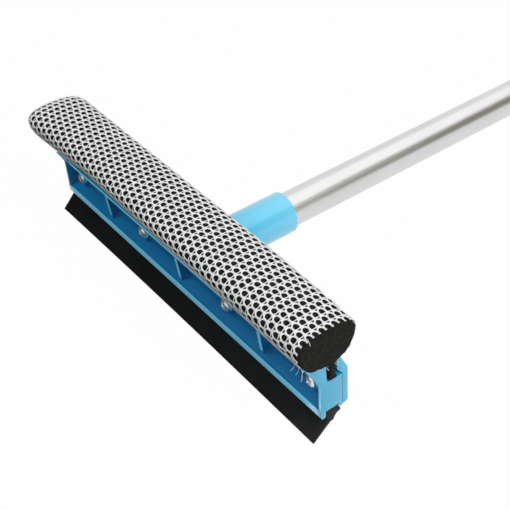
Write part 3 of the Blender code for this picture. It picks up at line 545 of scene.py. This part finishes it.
def extruded_rubber():
    """Smooth black rubber with faint extrusion lines and a trace of bloom."""
    made, tree, shader = new_material("black_rubber", BLACK_RUBBER, 0.5)
    shader.inputs["Specular IOR Level"].default_value = 0.22
    skin = patchy_skin(tree, shader, BLACK_RUBBER, patch_scale=55.0, grain_scale=1800.0, shades=(0.85, 1.35),
                       roughnesses=(0.42, 0.56))
    lines = use_group(tree, drawn_lines, {"Stretch": (6.0, 900.0, 900.0)})
    below = relief(tree, shader, lines.outputs["Lines"], RUBBER_LINE_DEPTH, 0.4)
    relief(tree, shader, skin.outputs["Grain"], RUBBER_GRAIN_DEPTH, 0.3, below)
    return made


blade_low, blade_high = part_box("rubber_blade")
lip_low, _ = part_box("front_clamp")
blade_shape = node_form("rubber_blade")
soften_edges(blade_shape, BLADE_EDGE_RADIUS)
cut_across(blade_shape, blade_low, blade_high, (BLADE_DIVISIONS, 1, 1))
for vert in blade_shape.verts:
    hanging = max(0.0, (lip_low.z - vert.co.z) / (lip_low.z - blade_low.z))
    along = (vert.co.x - blade_low.x) / (blade_high.x - blade_low.x)
    bow = BLADE_BOW * hanging * hanging * math.sin(math.pi * along)
    vert.co.y += bow
    vert.co.z += bow * BOW_LIFT_SHARE
    vert.co.x -= BLADE_OVERRUN * (1 - along)
to_piece("wiper_blade", blade_shape, extruded_rubber(), "head", "rubber_blade")

# Screws: zinc-plated steel with a domed pan head and a cross recess, four through the clamp and a smaller
# one that pins the tube in its socket from below.
SCREW_HEAD_RADIUS = 3.5 * MM
SCREW_HEAD_HEIGHT = 2.3 * MM
SCREW_RIM_HEIGHT = 0.9 * MM
RECESS_REACH = 2.2 * MM
RECESS_WIDTH = 1.15 * MM
RECESS_DEPTH = 1.7 * MM
RECESS_FOOT_SHARE = 0.45
SCREW_EDGE_RADIUS = 0.09 * MM
SCREW_SIDES = 48
TURN_SHARES = (0.10, 0.62, 0.35, 0.81)
PIN_TURN = 0.4
DOME_STEPS = 10
ZINC = (0.93, 0.95, 0.97)
ZINC_GRAIN_DEPTH = 0.012 * MM


def plated_zinc():
    """Bright zinc plating over turned steel."""
    made, tree, shader = new_material("zinc_plating", ZINC, 0.32, 0.9)
    skin = patchy_skin(tree, shader, ZINC, patch_scale=350.0, grain_scale=5200.0, shades=(0.82, 1.12),
                       roughnesses=(0.26, 0.4))
    relief(tree, shader, skin.outputs["Grain"], ZINC_GRAIN_DEPTH, 0.4)
    return made


def turned(profile, sides):
    """A round form about the Y axis, spun from a (radius, y) profile that ends on the axis or is closed."""
    shape = bmesh.new()
    verts = [shape.verts.new((radius, y, 0.0)) for radius, y in profile]
    edges = [shape.edges.new(pair) for pair in zip(verts, verts[1:])]
    bmesh.ops.spin(shape, geom=verts + edges, cent=(0.0, 0.0, 0.0), axis=(0.0, 1.0, 0.0),
                   angle=math.tau, steps=sides, use_merge=True)
    bmesh.ops.remove_doubles(shape, verts=shape.verts, dist=WELD_DISTANCE)
    bmesh.ops.recalc_face_normals(shape, faces=shape.faces)
    return shape


def worked(blank, *cutters):
    """The form that a blank has once its modifier is applied; the blank and its cutters are removed."""
    evaluated = blank.evaluated_get(bpy.context.evaluated_depsgraph_get())
    result = bmesh.new()
    result.from_mesh(evaluated.to_mesh())
    evaluated.to_mesh_clear()
    for used in (blank, *cutters):
        mesh = used.data
        bpy.data.objects.remove(used)
        bpy.data.meshes.remove(mesh)
    return result


def carve(shape, cutter):
    """Cuts one closed form out of another; both are used up."""
    blank = new_object("blank", shape)
    tool = new_object("cutter", cutter)
    step = blank.modifiers.new("carve", "BOOLEAN")
    step.operation = "DIFFERENCE"
    step.solver = "EXACT"
    step.object = tool
    return worked(blank, tool)


def recess_arm(turn):
    """One bar of the cross recess, narrower at its foot, to be cut in from the dome's top."""
    arm = bmesh.new()
    bmesh.ops.create_cube(arm, size=UNIT * 2)
    for vert in arm.verts:
        outside = vert.co.y < 0
        share = 1.0 if outside else RECESS_FOOT_SHARE
        vert.co.x *= RECESS_REACH * share
        vert.co.z *= RECESS_WIDTH / 2 * share
        vert.co.y = -SCREW_HEAD_HEIGHT + (-SCREW_RIM_HEIGHT if outside else RECESS_DEPTH)
    bmesh.ops.rotate(arm, verts=arm.verts, cent=(0, 0, 0), matrix=Matrix.Rotation(turn, 3, "Y"))
    return arm


def screw_form(turn):
    """A pan-head screw along Y, its seat at zero, its dome towards -Y and its recess turned by an angle."""
    dome = [(0.0, -SCREW_HEAD_HEIGHT)]
    rise = SCREW_HEAD_HEIGHT - SCREW_RIM_HEIGHT
    for step in range(1, DOME_STEPS + 1):
        angle = math.pi / 2 * step / DOME_STEPS
        dome.append((SCREW_HEAD_RADIUS * math.sin(angle), -SCREW_RIM_HEIGHT - rise * math.cos(angle)))
    edge = SCREW_RIM_HEIGHT / 4
    profile = dome + [(SCREW_HEAD_RADIUS, -edge), (SCREW_HEAD_RADIUS - edge, 0.0), (0.0, 0.0)]
    head = carve(turned(profile, SCREW_SIDES), recess_arm(turn))
    head = carve(head, recess_arm(turn + math.pi / 2))
    soften_edges(head, SCREW_EDGE_RADIUS)
    return head


zinc_plating = plated_zinc()
for index, turn_share in enumerate(TURN_SHARES, 1):
    low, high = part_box(f"clamp_screw_{index}")
    screw = screw_form(math.pi * turn_share)
    seat = Vector(((low.x + high.x) / 2, low.y + SCREW_HEAD_HEIGHT, (low.z + high.z) / 2))
    bmesh.ops.translate(screw, verts=screw.verts, vec=seat)
    to_piece(f"screw_head_{index}", screw, zinc_plating, "head", f"clamp_screw_{index}")

low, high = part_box("socket_screw")
pin_scale = (high.x - low.x) / (SCREW_HEAD_RADIUS * 2)
pin = screw_form(PIN_TURN)
bmesh.ops.scale(pin, vec=(pin_scale, pin_scale, pin_scale), verts=pin.verts)
bmesh.ops.rotate(pin, verts=pin.verts, cent=(0, 0, 0), matrix=Matrix.Rotation(math.pi / 2, 3, "X"))
pin_seat = Vector(((low.x + high.x) / 2, (low.y + high.y) / 2, low.z + SCREW_HEAD_HEIGHT * pin_scale))
bmesh.ops.translate(pin, verts=pin.verts, vec=pin_seat)
to_piece("socket_pin_screw", pin, zinc_plating, "head", "socket_screw")

# Foam bar: charcoal open-cell polyether, sawn to a loaf-shaped lobe on a narrow neck. A bulb at its foot
# locks in the clamp's groove. The lobe lies a little askew on the clamp, and its far end is drawn in.
LOBE_WIDTH = 34.0 * MM
LOBE_HEIGHT = 20.0 * MM
LOBE_FOOT_SHARE = 0.20
LOBE_SQUARENESS = 2.7
LOBE_SAMPLES = 160
FOAM_PROUD = 1.4 * MM
NECK_THICKNESS = 3.6 * MM
NECK_SHIFT = 2.4 * MM
BULB_HEIGHT = 3.2 * MM
BULB_SPREAD = 1.5 * MM
FOAM_VOXEL = 0.9 * MM
CELL_SIZE = 0.8 * MM
CELL_DEPTH = 0.28 * MM
COARSE_CELL_SHARE = 2.3
CELL_LEVEL_SHARE = 0.6
PORE_DEPTH = 0.4 * MM
FOAM_GRAIN_DEPTH = 0.2 * MM
CHARCOAL = (0.0066, 0.0066, 0.0060)
LOBE_ROOT = 5.0 * MM

# Each row of the lobe's lie: distance from the near end, lift, shift back, growth of width and of height.
LOBE_LIE_IN_MM = (
    (0.0, -1.8, 0.1, -0.8, 0.8), (17.0, -1.0, 0.2, -0.1, 0.7), (65.0, 0.5, 0.5, 0.3, 0.3),
    (131.0, 2.1, 0.3, 0.1, -0.4), (195.0, 3.1, 0.3, -0.2, -0.3), (249.0, 3.6, -1.0, 0.9, 0.5),
    (255.0, 3.1, -1.0, 0.4, 0.4), (259.0, 2.0, -0.9, -1.2, 0.1), (262.0, 0.4, -0.9, -3.6, -0.5))

foam_low, foam_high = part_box("sponge_core")
clamp_low, clamp_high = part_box("front_clamp")
foam_end = foam_high.x + FOAM_PROUD
lobe_middle = (foam_low.y + foam_high.y) / 2
lobe_foot = foam_high.z - LOBE_HEIGHT
lobe_centre = foam_high.z - LOBE_HEIGHT / 2
neck_middle = lobe_middle + NECK_SHIFT


def lobe_point(angle, skin):
    """A (y, z) point on the lobe, a squarish oval narrowed at its foot, or a skin's thickness outside it."""
    power = 2 / LOBE_SQUARENESS
    across = math.copysign(abs(math.cos(angle)) ** power, math.cos(angle))
    up = math.copysign(abs(math.sin(angle)) ** power, math.sin(angle))
    y = lobe_middle + (LOBE_WIDTH / 2 * (1 + LOBE_FOOT_SHARE * up) + skin) * across
    return Vector((y, lobe_centre + (LOBE_HEIGHT / 2 + skin) * up))


def round_lobe(start, way, steps, skin, front, back):
    """Points round the lobe from an angle, one way or the other, without those where the neck leaves it."""
    turns = [start + way * math.tau * step / steps for step in range(1, steps)]
    points = [lobe_point(angle, skin) for angle in turns]
    return [point for point in points
            if point.y > lobe_foot + LOBE_HEIGHT / 4 or not front < point.x < back]


def laid(place, skin):
    """Moves a point of the straight lobe to where the real one lies; it rests on the clamp, never in it."""
    rows = LOBE_LIE_IN_MM
    from_end = min(max((foam_high.x - place.x) / MM, 0.0), rows[-1][0])
    index = min(max(bisect.bisect_right(rows, (from_end, math.inf)) - 1, 0), len(rows) - 2)
    share = (from_end - rows[index][0]) / (rows[index + 1][0] - rows[index][0])
    lift, back, wider, higher = (
        (low + (high - low) * share) * MM for low, high in zip(rows[index][1:], rows[index + 1][1:]))
    free = min(1.0, max(0.0, (place.z - lobe_foot + LOBE_ROOT) / LOBE_ROOT))
    across = (place.y - lobe_middle) / (LOBE_WIDTH / 2)
    up = (place.z - lobe_centre) / (LOBE_HEIGHT / 2)
    moved = place + Vector((0.0, (back + wider * across) * free, (lift + higher * up) * free))
    over_clamp = place.x < clamp_high.x and place.z >= lobe_foot - skin
    if over_clamp and moved.y > clamp_low.y:
        moved.z = max(moved.z, clamp_high.z + skin)
    return moved


def foam_section():
    """The closed (y, z) outline of the foam: lobe, neck and bulb."""
    front = neck_middle - NECK_THICKNESS / 2
    back = neck_middle + NECK_THICKNESS / 2
    lobe = round_lobe(-math.pi / 2, 1, LOBE_SAMPLES, 0.0, front, back)
    bulb_foot = foam_low.z
    neck_foot = bulb_foot + BULB_HEIGHT
    bulb = [(front, lobe_foot), (front, neck_foot), (front - BULB_SPREAD / 3, bulb_foot + BULB_HEIGHT / 3),
            (front, bulb_foot), (back + BULB_SPREAD / 2, bulb_foot),
            (back + BULB_SPREAD, bulb_foot + BULB_HEIGHT / 3),
            (back + BULB_SPREAD, bulb_foot + BULB_HEIGHT / 2), (back, neck_foot), (back, lobe_foot)]
    return lobe + [Vector(place) for place in bulb]


def bar(outline, start, length):
    """A bar of constant (y, z) section, extruded along X."""
    shape = bmesh.new()
    face = shape.faces.new([shape.verts.new((start, y, z)) for y, z in outline])
    made = bmesh.ops.extrude_face_region(shape, geom=[face])
    moved = [item for item in made["geom"] if isinstance(item, bmesh.types.BMVert)]
    bmesh.ops.translate(shape, verts=moved, vec=(length, 0.0, 0.0))
    bmesh.ops.recalc_face_normals(shape, faces=shape.faces)
    return shape


def open_cell_foam():
    """Charcoal foam: dark pores between paler cell walls, in two sizes."""
    made, tree, shader = new_material("charcoal_foam", CHARCOAL, 0.95)
    shader.inputs["Specular IOR Level"].default_value = 0.2
    place = add_node(tree, "ShaderNodeTexCoord").outputs["Object"]
    cells = add_node(tree, "ShaderNodeTexVoronoi", {"Vector": place, "Scale": 1500.0})
    skin = use_group(tree, surface_skin, {"Patch Scale": 700.0, "Grain Scale": 2600.0})
    mixed = add_node(tree, "ShaderNodeMath", {0: cells.outputs["Distance"], 1: skin.outputs["Patch"]},
                     operation="ADD")
    halved = add_node(tree, "ShaderNodeMath", {0: mixed.outputs[0], 1: 0.5}, operation="MULTIPLY")
    vary_colour(tree, shader, halved.outputs[0], tinted(CHARCOAL, 0.3), tinted(CHARCOAL, 3.2), (0.36, 0.66))
    below = relief(tree, shader, halved.outputs[0], PORE_DEPTH, 0.8)
    relief(tree, shader, skin.outputs["Grain"], FOAM_GRAIN_DEPTH, 0.6, below)
    return made


def remeshed(shape, voxel):
    """The same form as an even grid of small faces."""
    blank = new_object("blank", shape)
    step = blank.modifiers.new("voxels", "REMESH")
    step.mode = "VOXEL"
    step.voxel_size = voxel
    return worked(blank)


foam_shape = remeshed(bar(foam_section(), foam_low.x, foam_end - foam_low.x), FOAM_VOXEL)
foam_shape.normal_update()
for vert in foam_shape.verts:
    roughness = noise.noise(vert.co / CELL_SIZE) + noise.noise(vert.co / (CELL_SIZE * COARSE_CELL_SHARE))
    pitted = vert.co + vert.normal * CELL_DEPTH * (roughness - CELL_LEVEL_SHARE)
    vert.co = laid(pitted, 0.0)
foam_bar = to_piece("foam_bar", foam_shape, open_cell_foam(), "head", "sponge_core", math.pi)

# Net sleeve: white polyester warp knit, wrapped round the foam, tucked in the groove on both sides of the
# neck and cut off at the foam's end. Each stitch has a big rounded hole and a small three-cornered one.
STITCH_LENGTH = 9.6 * MM
STITCH_WIDTH = 3.85 * MM
BAR_PLACE = 1.62 * MM
TIP_PLACE = 3.45 * MM
HOLE_BACK = 1.98 * MM
HOLE_FRONT = 1.4 * MM
HOLE_HALF_WIDTH = 1.43 * MM
BACK_SQUARENESS = 2.1
FRONT_SQUARENESS = 3.6
SMALL_HOLE_START = 1.86 * MM
SMALL_HOLE_SHARES = (0.74, 0.56)
YARN_RISE = 0.34 * MM
BAR_RISE = 0.24 * MM
YARN_DROP = 0.16 * MM
YARN_SHOULDER_SHARE = 0.78
NET_SKIN = 0.3 * MM
NET_TUCK = 5.2 * MM
NET_CUT_PLACE = 1.1 * MM
CUT_RAGGEDNESS = 0.8 * MM
RAGGED_RATE = 1.7
CUT_CURL = 0.45 * MM
CURL_LEVEL_SHARE = 0.6
CURL_RATE = 1.3
NECK_EDGE_REACH = 1.9 * MM
NECK_EDGE_CURL = 0.7 * MM
PATH_STEP = 0.4 * MM
PATH_SOFTENING = 4
WEAVE_DRIFT = 0.34 * MM
WEAVE_DRIFT_SIZE = 14.0 * MM
FINE_DRIFT_RATE = 3.5
FINE_DRIFT_SHARE = 0.45
DRIFT_SEED = 4
NET_TWIST = 4.7 * MM
NET_SMOOTH_ANGLE = math.radians(70)
SPARE_STITCHES = 2
FIRST_COURSE_SHARE = 1.5
NET_WHITE = (0.82, 0.83, 0.82)
TWIST_DEPTH = 0.06 * MM
YARN_GRAIN_DEPTH = 0.04 * MM


def net_path():
    """Points round the foam from the front tuck over the top to the back one, closely set and softened."""
    front = neck_middle - NECK_THICKNESS / 2 - NET_SKIN
    back = neck_middle + NECK_THICKNESS / 2 + NET_SKIN
    foot = lobe_foot - NET_SKIN
    corners = [Vector((front, foot - NET_TUCK)), Vector((front, foot))]
    corners += round_lobe(math.pi * 3 / 2, -1, LOBE_SAMPLES * 2, NET_SKIN, front, back)
    corners += [Vector((back, foot)), Vector((back, foot - NET_TUCK))]
    even = [corners[0]]
    for corner in corners[1:]:
        while (corner - even[-1]).length > PATH_STEP:
            even.append(even[-1] + (corner - even[-1]).normalized() * PATH_STEP)
    for _ in range(PATH_SOFTENING):
        inner = [(before + here * 2 + after) / 4 for before, here, after in zip(even, even[1:], even[2:])]
        even = [even[0]] + inner + [even[-1]]
    return even


def big_hole_edge(spine):
    """The point of the big hole's edge that faces a point of the strands' middle line."""
    ahead = spine.x > 0
    reach, power = (HOLE_FRONT, FRONT_SQUARENESS) if ahead else (HOLE_BACK, BACK_SQUARENESS)
    size = (abs(spine.x / reach) ** power + abs(spine.y / HOLE_HALF_WIDTH) ** power) ** (-1 / power)
    return Vector((spine.x * size, spine.y * size, 0.0))


def small_hole_edge(spine):
    """The point of the small hole's edge that faces a point of the strands' middle line."""
    return Vector((SMALL_HOLE_START + (spine.x - BAR_PLACE) * SMALL_HOLE_SHARES[0],
                   spine.y * SMALL_HOLE_SHARES[1], 0.0))


def stitch_form():
    """One stitch lying flat, s along X and t along Y: strands round its two holes, rounded above and below.

    The strands' middle lines are the edges of two faces, the big hole's and the small one's. An inset gives
    each its hole, a second ring between rounds the strand's back, and a lower copy closes it.
    """
    half = STITCH_LENGTH / 2
    side = STITCH_WIDTH / 2
    shape = bmesh.new()
    split = shape.verts.new((BAR_PLACE - half, 0.0, 0.0))
    left = shape.verts.new((TIP_PLACE - half, side, 0.0))
    left_bar = shape.verts.new((BAR_PLACE, side, 0.0))
    right_bar = shape.verts.new((BAR_PLACE, -side, 0.0))
    right = shape.verts.new((TIP_PLACE - half, -side, 0.0))
    tip = shape.verts.new((TIP_PLACE, 0.0, 0.0))
    straight = [shape.edges.new(ends) for ends in ((left, left_bar), (left_bar, right_bar),
                                                   (right_bar, right))]
    slanted = [shape.edges.new(ends) for ends in ((split, left), (right, split), (left_bar, tip),
                                                  (tip, right_bar))]
    bmesh.ops.subdivide_edges(shape, edges=slanted, cuts=2)
    bmesh.ops.subdivide_edges(shape, edges=straight, cuts=1)
    bmesh.ops.edgenet_fill(shape, edges=shape.edges)
    if len(shape.faces) > 2:
        round_both = max(shape.faces, key=lambda face: face.calc_area())
        bmesh.ops.delete(shape, geom=[round_both], context="FACES_ONLY")
    shape.normal_update()
    bmesh.ops.reverse_faces(shape, faces=[face for face in shape.faces if face.normal.z < 0])
    spine = set(shape.verts)
    holes = sorted(shape.faces, key=lambda face: face.calc_center_median().x)
    bmesh.ops.inset_individual(shape, faces=holes, thickness=YARN_DROP, use_even_offset=True)
    for hole, edge_point in zip(holes, (big_hole_edge, small_hole_edge)):
        for vert in hole.verts:
            neighbours = [edge.other_vert(vert) for edge in vert.link_edges]
            facing = next(neighbour for neighbour in neighbours if neighbour in spine)
            vert.co = edge_point(facing.co)
    bmesh.ops.delete(shape, geom=holes, context="FACES_ONLY")
    copied = bmesh.ops.duplicate(shape, geom=whole(shape))
    low_faces = [item for item in copied["geom"] if isinstance(item, bmesh.types.BMFace)]
    low_spine = [copied["vert_map"][vert] for vert in spine]
    bmesh.ops.reverse_faces(shape, faces=low_faces)
    bmesh.ops.translate(shape, verts=low_spine, vec=(0.0, 0.0, -YARN_DROP))
    for vert in spine:
        on_bar = abs(vert.co.x - BAR_PLACE) < WELD_DISTANCE and abs(vert.co.y) < side / 2
        vert.co.z = BAR_RISE if on_bar else YARN_RISE
    radial = [edge for edge in shape.edges if (edge.verts[0] in spine) != (edge.verts[1] in spine)]
    ring = bmesh.ops.subdivide_edges(shape, edges=radial, cuts=1)
    for item in ring["geom_inner"]:
        if isinstance(item, bmesh.types.BMVert):
            item.co.z = item.co.z * 2 * YARN_SHOULDER_SHARE
    bmesh.ops.remove_doubles(shape, verts=shape.verts, dist=WELD_DISTANCE)
    return shape


def repeated(shape, geometry, count, step):
    """Copies geometry until there are count of it, each a step on from the last; returns all of it."""
    everything = list(geometry)
    last = geometry
    for _ in range(count - 1):
        last = bmesh.ops.duplicate(shape, geom=last)["geom"]
        verts = [item for item in last if isinstance(item, bmesh.types.BMVert)]
        bmesh.ops.translate(shape, verts=verts, vec=step)
        everything += last
    return everything


def knit_yarn():
    """White polyester yarn: fine twisted filaments along each strand and a soft sheen."""
    made, tree, shader = new_material("white_knit", NET_WHITE, 0.75)
    shader.inputs["Sheen Weight"].default_value = 0.15
    shader.inputs["Sheen Roughness"].default_value = 0.5
    flat = add_node(tree, "ShaderNodeUVMap", uv_map="knit")
    slanted = add_node(tree, "ShaderNodeMapping",
                       {"Vector": flat.outputs["UV"], "Rotation": (0.0, 0.0, 0.6)})
    twist = add_node(tree, "ShaderNodeTexWave",
                     {"Vector": slanted.outputs["Vector"], "Scale": 620.0, "Distortion": 1.5, "Detail": 2.0,
                      "Detail Scale": 2.0})
    skin = patchy_skin(tree, shader, NET_WHITE, patch_scale=260.0, grain_scale=4200.0, shades=(0.9, 1.05))
    below = relief(tree, shader, twist.outputs["Fac"], TWIST_DEPTH, 0.6)
    relief(tree, shader, skin.outputs["Grain"], YARN_GRAIN_DEPTH, 0.5, below)
    return made


path = net_path()
travelled = [0.0]
for before, here in zip(path, path[1:]):
    travelled.append(travelled[-1] + (here - before).length)
net_round = travelled[-1]


def on_foam(x, t, rise):
    """A point of the net: x along the head, t round the foam's section, rise out from the net's middle."""
    t = min(max(t, 0.0), net_round)
    index = min(max(bisect.bisect_right(travelled, t) - 1, 0), len(path) - 2)
    share = (t - travelled[index]) / (travelled[index + 1] - travelled[index])
    place = path[index].lerp(path[index + 1], share)
    before = path[max(index - 1, 0)]
    after = path[min(index + 2, len(path) - 1)]
    way = (after - before).normalized()
    return laid(Vector((x, place.x - way.y * rise, place.y + way.x * rise)), NET_SKIN)


net_start = foam_low.x
net_end = foam_high.x
knit = stitch_form()
half_stitch = STITCH_LENGTH / 2
half_course = STITCH_WIDTH / 2

# The knit is laid out flat and a little too large, pulled askew along its length, and trimmed to size.
stitches = math.ceil((net_end - net_start) / STITCH_LENGTH) + SPARE_STITCHES
courses = math.ceil((net_round + NET_TWIST) / STITCH_WIDTH) + SPARE_STITCHES
pair = repeated(knit, whole(knit), 2, (half_stitch, half_course, 0.0))
strip = repeated(knit, pair, stitches, (STITCH_LENGTH, 0.0, 0.0))
repeated(knit, strip, courses, (0.0, STITCH_WIDTH, 0.0))
bmesh.ops.remove_doubles(knit, verts=knit.verts, dist=WELD_DISTANCE * 2)
last_hole = STITCH_LENGTH * (stitches - SPARE_STITCHES)
bmesh.ops.translate(knit, verts=knit.verts,
                    vec=(net_end - last_hole - NET_CUT_PLACE, -half_course * FIRST_COURSE_SHARE, 0.0))
for vert in knit.verts:
    along = max(0.0, (vert.co.x - net_start) / (net_end - net_start))
    vert.co.y -= NET_TWIST * along * along
trims = (((net_start, 0, 0), (-1, 0, 0)), ((net_end, 0, 0), (1, 0, 0)),
         ((0, 0, 0), (0, -1, 0)), ((0, net_round, 0), (0, 1, 0)))
for place, outward in trims:
    bmesh.ops.bisect_plane(knit, geom=whole(knit), plane_co=place, plane_no=outward, clear_outer=True,
                           dist=WELD_DISTANCE / 10)

# Cut strands get closed ends, and the flat places stay as the map that the yarn's twist follows.
open_edges = [edge for edge in knit.edges if edge.is_boundary]
bmesh.ops.holes_fill(knit, edges=open_edges, sides=0)
flat_map = knit.loops.layers.uv.new("knit")
for face in knit.faces:
    for loop in face.loops:
        loop[flat_map].uv = (loop.vert.co.x, loop.vert.co.y)
yarn_area = sum(face.calc_area() for face in knit.faces) / 2

# Each point goes round the foam, a little adrift as in any knit, and frayed and curled near the cut.
noise.seed_set(DRIFT_SEED)
for vert in knit.verts:
    s, t, rise = vert.co
    drift = noise.noise_vector(Vector((s, t, 0.0)) / WEAVE_DRIFT_SIZE) * WEAVE_DRIFT
    fine_place = Vector((s, t, WEAVE_DRIFT_SIZE)) / WEAVE_DRIFT_SIZE * FINE_DRIFT_RATE
    drift += noise.noise_vector(fine_place) * WEAVE_DRIFT * FINE_DRIFT_SHARE
    to_end = max(0.0, 1 - (net_end - s) / STITCH_WIDTH)
    ragged = noise.noise(Vector((0.0, t, 0.0)) / STITCH_WIDTH * RAGGED_RATE) * to_end * CUT_RAGGEDNESS
    curl = CURL_LEVEL_SHARE + noise.noise(Vector((net_end, t, 0.0)) / STITCH_WIDTH * CURL_RATE)
    curl = curl * to_end * to_end * CUT_CURL
    if min(t, net_round - t) < NET_TUCK:
        ragged += to_end * NECK_EDGE_REACH
        curl += to_end * NECK_EDGE_CURL
    vert.co = on_foam(s + drift.x + ragged, t + drift.y, rise + curl)
white_knit = knit_yarn()
net = to_piece("net_knit", knit, white_knit, "head", "net_sleeve", NET_SMOOTH_ANGLE)

# Loose yarn: ends of the same white polyester that have come free where the net was cut off, one lying over
# the foam's end and four hanging in front of the clamp.
THREAD_RADIUS = 0.13 * MM
THREAD_ORIGIN = Vector((0.0, -4.6, 30.3)) * MM

# Each thread's points in millimetres, from a point in front of the lobe's middle line, level with the pole.
LOOSE_THREADS_IN_MM = (
    ((122.0, -6.6, 40.6), (124.0, -6.0, 41.2), (126.2, -6.6, 41.2), (128.0, -7.4, 40.6)),
    ((120.5, -8.5, 22.6), (121.5, -9.6, 20.6), (120.6, -10.6, 18.4)),
    ((122.5, -7.4, 21.6), (122.6, -8.6, 19.4), (123.6, -9.4, 17.0), (123.2, -9.8, 15.4)),
    ((119.0, -9.6, 23.6), (119.3, -11.0, 21.4), (118.2, -12.0, 20.2)),
    ((124.6, -6.0, 20.4), (125.6, -6.4, 18.4), (126.4, -7.4, 17.4)))

head_place = Vector(((clamp_low.x + clamp_high.x) / 2, lobe_middle, 0.0)) + THREAD_ORIGIN
yarn = bpy.data.curves.new("loose_threads", "CURVE")
yarn.dimensions = "3D"
yarn.bevel_depth = THREAD_RADIUS
yarn.bevel_resolution = 2
yarn.resolution_u = 8
yarn.use_fill_caps = True
for places in LOOSE_THREADS_IN_MM:
    thread = yarn.splines.new("NURBS")
    thread.points.add(len(places) - 1)
    thread.order_u = 3
    thread.use_endpoint_u = True
    for point, place in zip(thread.points, places):
        point.co = (*(head_place + Vector(place) * MM), 1.0)
yarn.materials.append(white_knit)
threads = bpy.data.objects.new("loose_threads", yarn)
bpy.context.scene.collection.objects.link(threads)
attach(threads, "head")

# Pole, inner tube: aluminium, drawn, sawn to length and satin-anodised. It is pushed into the socket and
# pinned there by the small screw, with an insert inside it where the screw bites.
TUBE_SIDES = 128
INNER_RADIUS = 10.5 * MM
TUBE_WALL = 1.0 * MM
CUT_EDGE = 0.15 * MM
SATIN = (0.68, 0.685, 0.68)
DRAWN_LINE_DEPTH = 0.01 * MM


def satin_aluminium():
    """Satin aluminium with fine drawing lines along the tube."""
    made, tree, shader = new_material("satin_aluminium", SATIN, 0.3, 1.0)
    patchy_skin(tree, shader, SATIN, patch_scale=25.0, grain_scale=3500.0, shades=(0.97, 1.02))
    lines = use_group(tree, drawn_lines, {"Stretch": (2600.0, 9.0, 2600.0)})
    vary_roughness(tree, shader, lines.outputs["Lines"], 0.24, 0.36)
    relief(tree, shader, lines.outputs["Lines"], DRAWN_LINE_DEPTH, 0.35)
    return made


def tube_form(node, radius):
    """A drawn tube with cleanly cut ends, where the plain tube lies."""
    low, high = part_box(node)
    inner = radius - TUBE_WALL
    profile = [(inner, low.y), (radius - CUT_EDGE, low.y), (radius, low.y + CUT_EDGE),
               (radius, high.y - CUT_EDGE), (radius - CUT_EDGE, high.y), (inner, high.y), (inner, low.y)]
    shape = turned(profile, TUBE_SIDES)
    bmesh.ops.translate(shape, verts=shape.verts, vec=((low.x + high.x) / 2, 0.0, (low.z + high.z) / 2))
    return shape


satin = satin_aluminium()
inner_shape = tube_form("inner_tube", INNER_RADIUS)
to_piece("inner_pole_tube", inner_shape, satin, "head", "inner_tube")

# Twist lock inside the pole: insert, spindle and split sleeve of natural nylon, a dark cone nut and a steel
# stop. They are turned or moulded to simple forms that hardly show, so the plain ones stay.
NYLON = (0.66, 0.65, 0.60)
NYLON_GRAIN_DEPTH = 0.015 * MM
DARK = (0.03, 0.032, 0.035)
DARK_GRAIN_DEPTH = 0.03 * MM


def natural_nylon():
    """Natural nylon: cream-coloured, smooth from the mould."""
    made, tree, shader = new_material("natural_nylon", NYLON, 0.45)
    skin = patchy_skin(tree, shader, NYLON, patch_scale=90.0, grain_scale=2800.0, shades=(0.93, 1.05),
                       roughnesses=(0.38, 0.5))
    relief(tree, shader, skin.outputs["Grain"], NYLON_GRAIN_DEPTH, 0.4)
    return made


def dark_moulding():
    """Charcoal moulded plastic with a spark-eroded grain."""
    made, tree, shader = new_material("dark_moulding", DARK, 0.48)
    skin = patchy_skin(tree, shader, DARK, patch_scale=60.0, grain_scale=2400.0, shades=(0.9, 1.15),
                       roughnesses=(0.42, 0.55))
    relief(tree, shader, skin.outputs["Grain"], DARK_GRAIN_DEPTH, 0.5)
    return made


nylon = natural_nylon()
dark = dark_moulding()
LOCK_FINISHES = {"tube_insert": nylon, "lock_spindle": nylon, "lock_expander": nylon,
                 "lock_wedge": dark, "lock_stop": zinc_plating}
for node, finish in LOCK_FINISHES.items():
    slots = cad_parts[node].data.materials
    slots.clear()
    slots.append(finish)

# Pole, outer tube: the same satin-anodised aluminium, 4 mm wider. It slides over the inner tube, and the
# twist lock's spread sleeve holds it there.
OUTER_RADIUS = 12.5 * MM
outer_shape = tube_form("outer_tube", OUTER_RADIUS)
to_piece("outer_pole_tube", outer_shape, satin, "handle", "outer_tube")

# Fittings of the outer tube: a fluted collar pressed on its mouth and an end cap with a hanging loop, both
# moulded in dark plastic, and a ribbed hand grip of soft rubber drawn over its end.
FITTING_EDGE_RADIUS = 0.25 * MM
GRIP_EDGE_RADIUS = 0.3 * MM
GRIP_BLACK = (0.016, 0.017, 0.018)
GRIP_GRAIN_DEPTH = 0.08 * MM


def soft_rubber():
    """Matt soft rubber with a fine pebbled skin."""
    made, tree, shader = new_material("soft_grip_rubber", GRIP_BLACK, 0.75)
    skin = patchy_skin(tree, shader, GRIP_BLACK, patch_scale=45.0, grain_scale=1500.0, shades=(0.85, 1.4),
                       roughnesses=(0.66, 0.82))
    relief(tree, shader, skin.outputs["Grain"], GRIP_GRAIN_DEPTH, 0.6)
    return made


for fitting in ("mouth_collar", "end_cap"):
    fitting_shape = node_form(fitting)
    soften_edges(fitting_shape, FITTING_EDGE_RADIUS)
    to_piece(fitting + "_moulding", fitting_shape, dark, "handle", fitting)
grip_shape = node_form("hand_grip")
soften_edges(grip_shape, GRIP_EDGE_RADIUS)
to_piece("rubber_grip", grip_shape, soft_rubber(), "handle", "hand_grip")
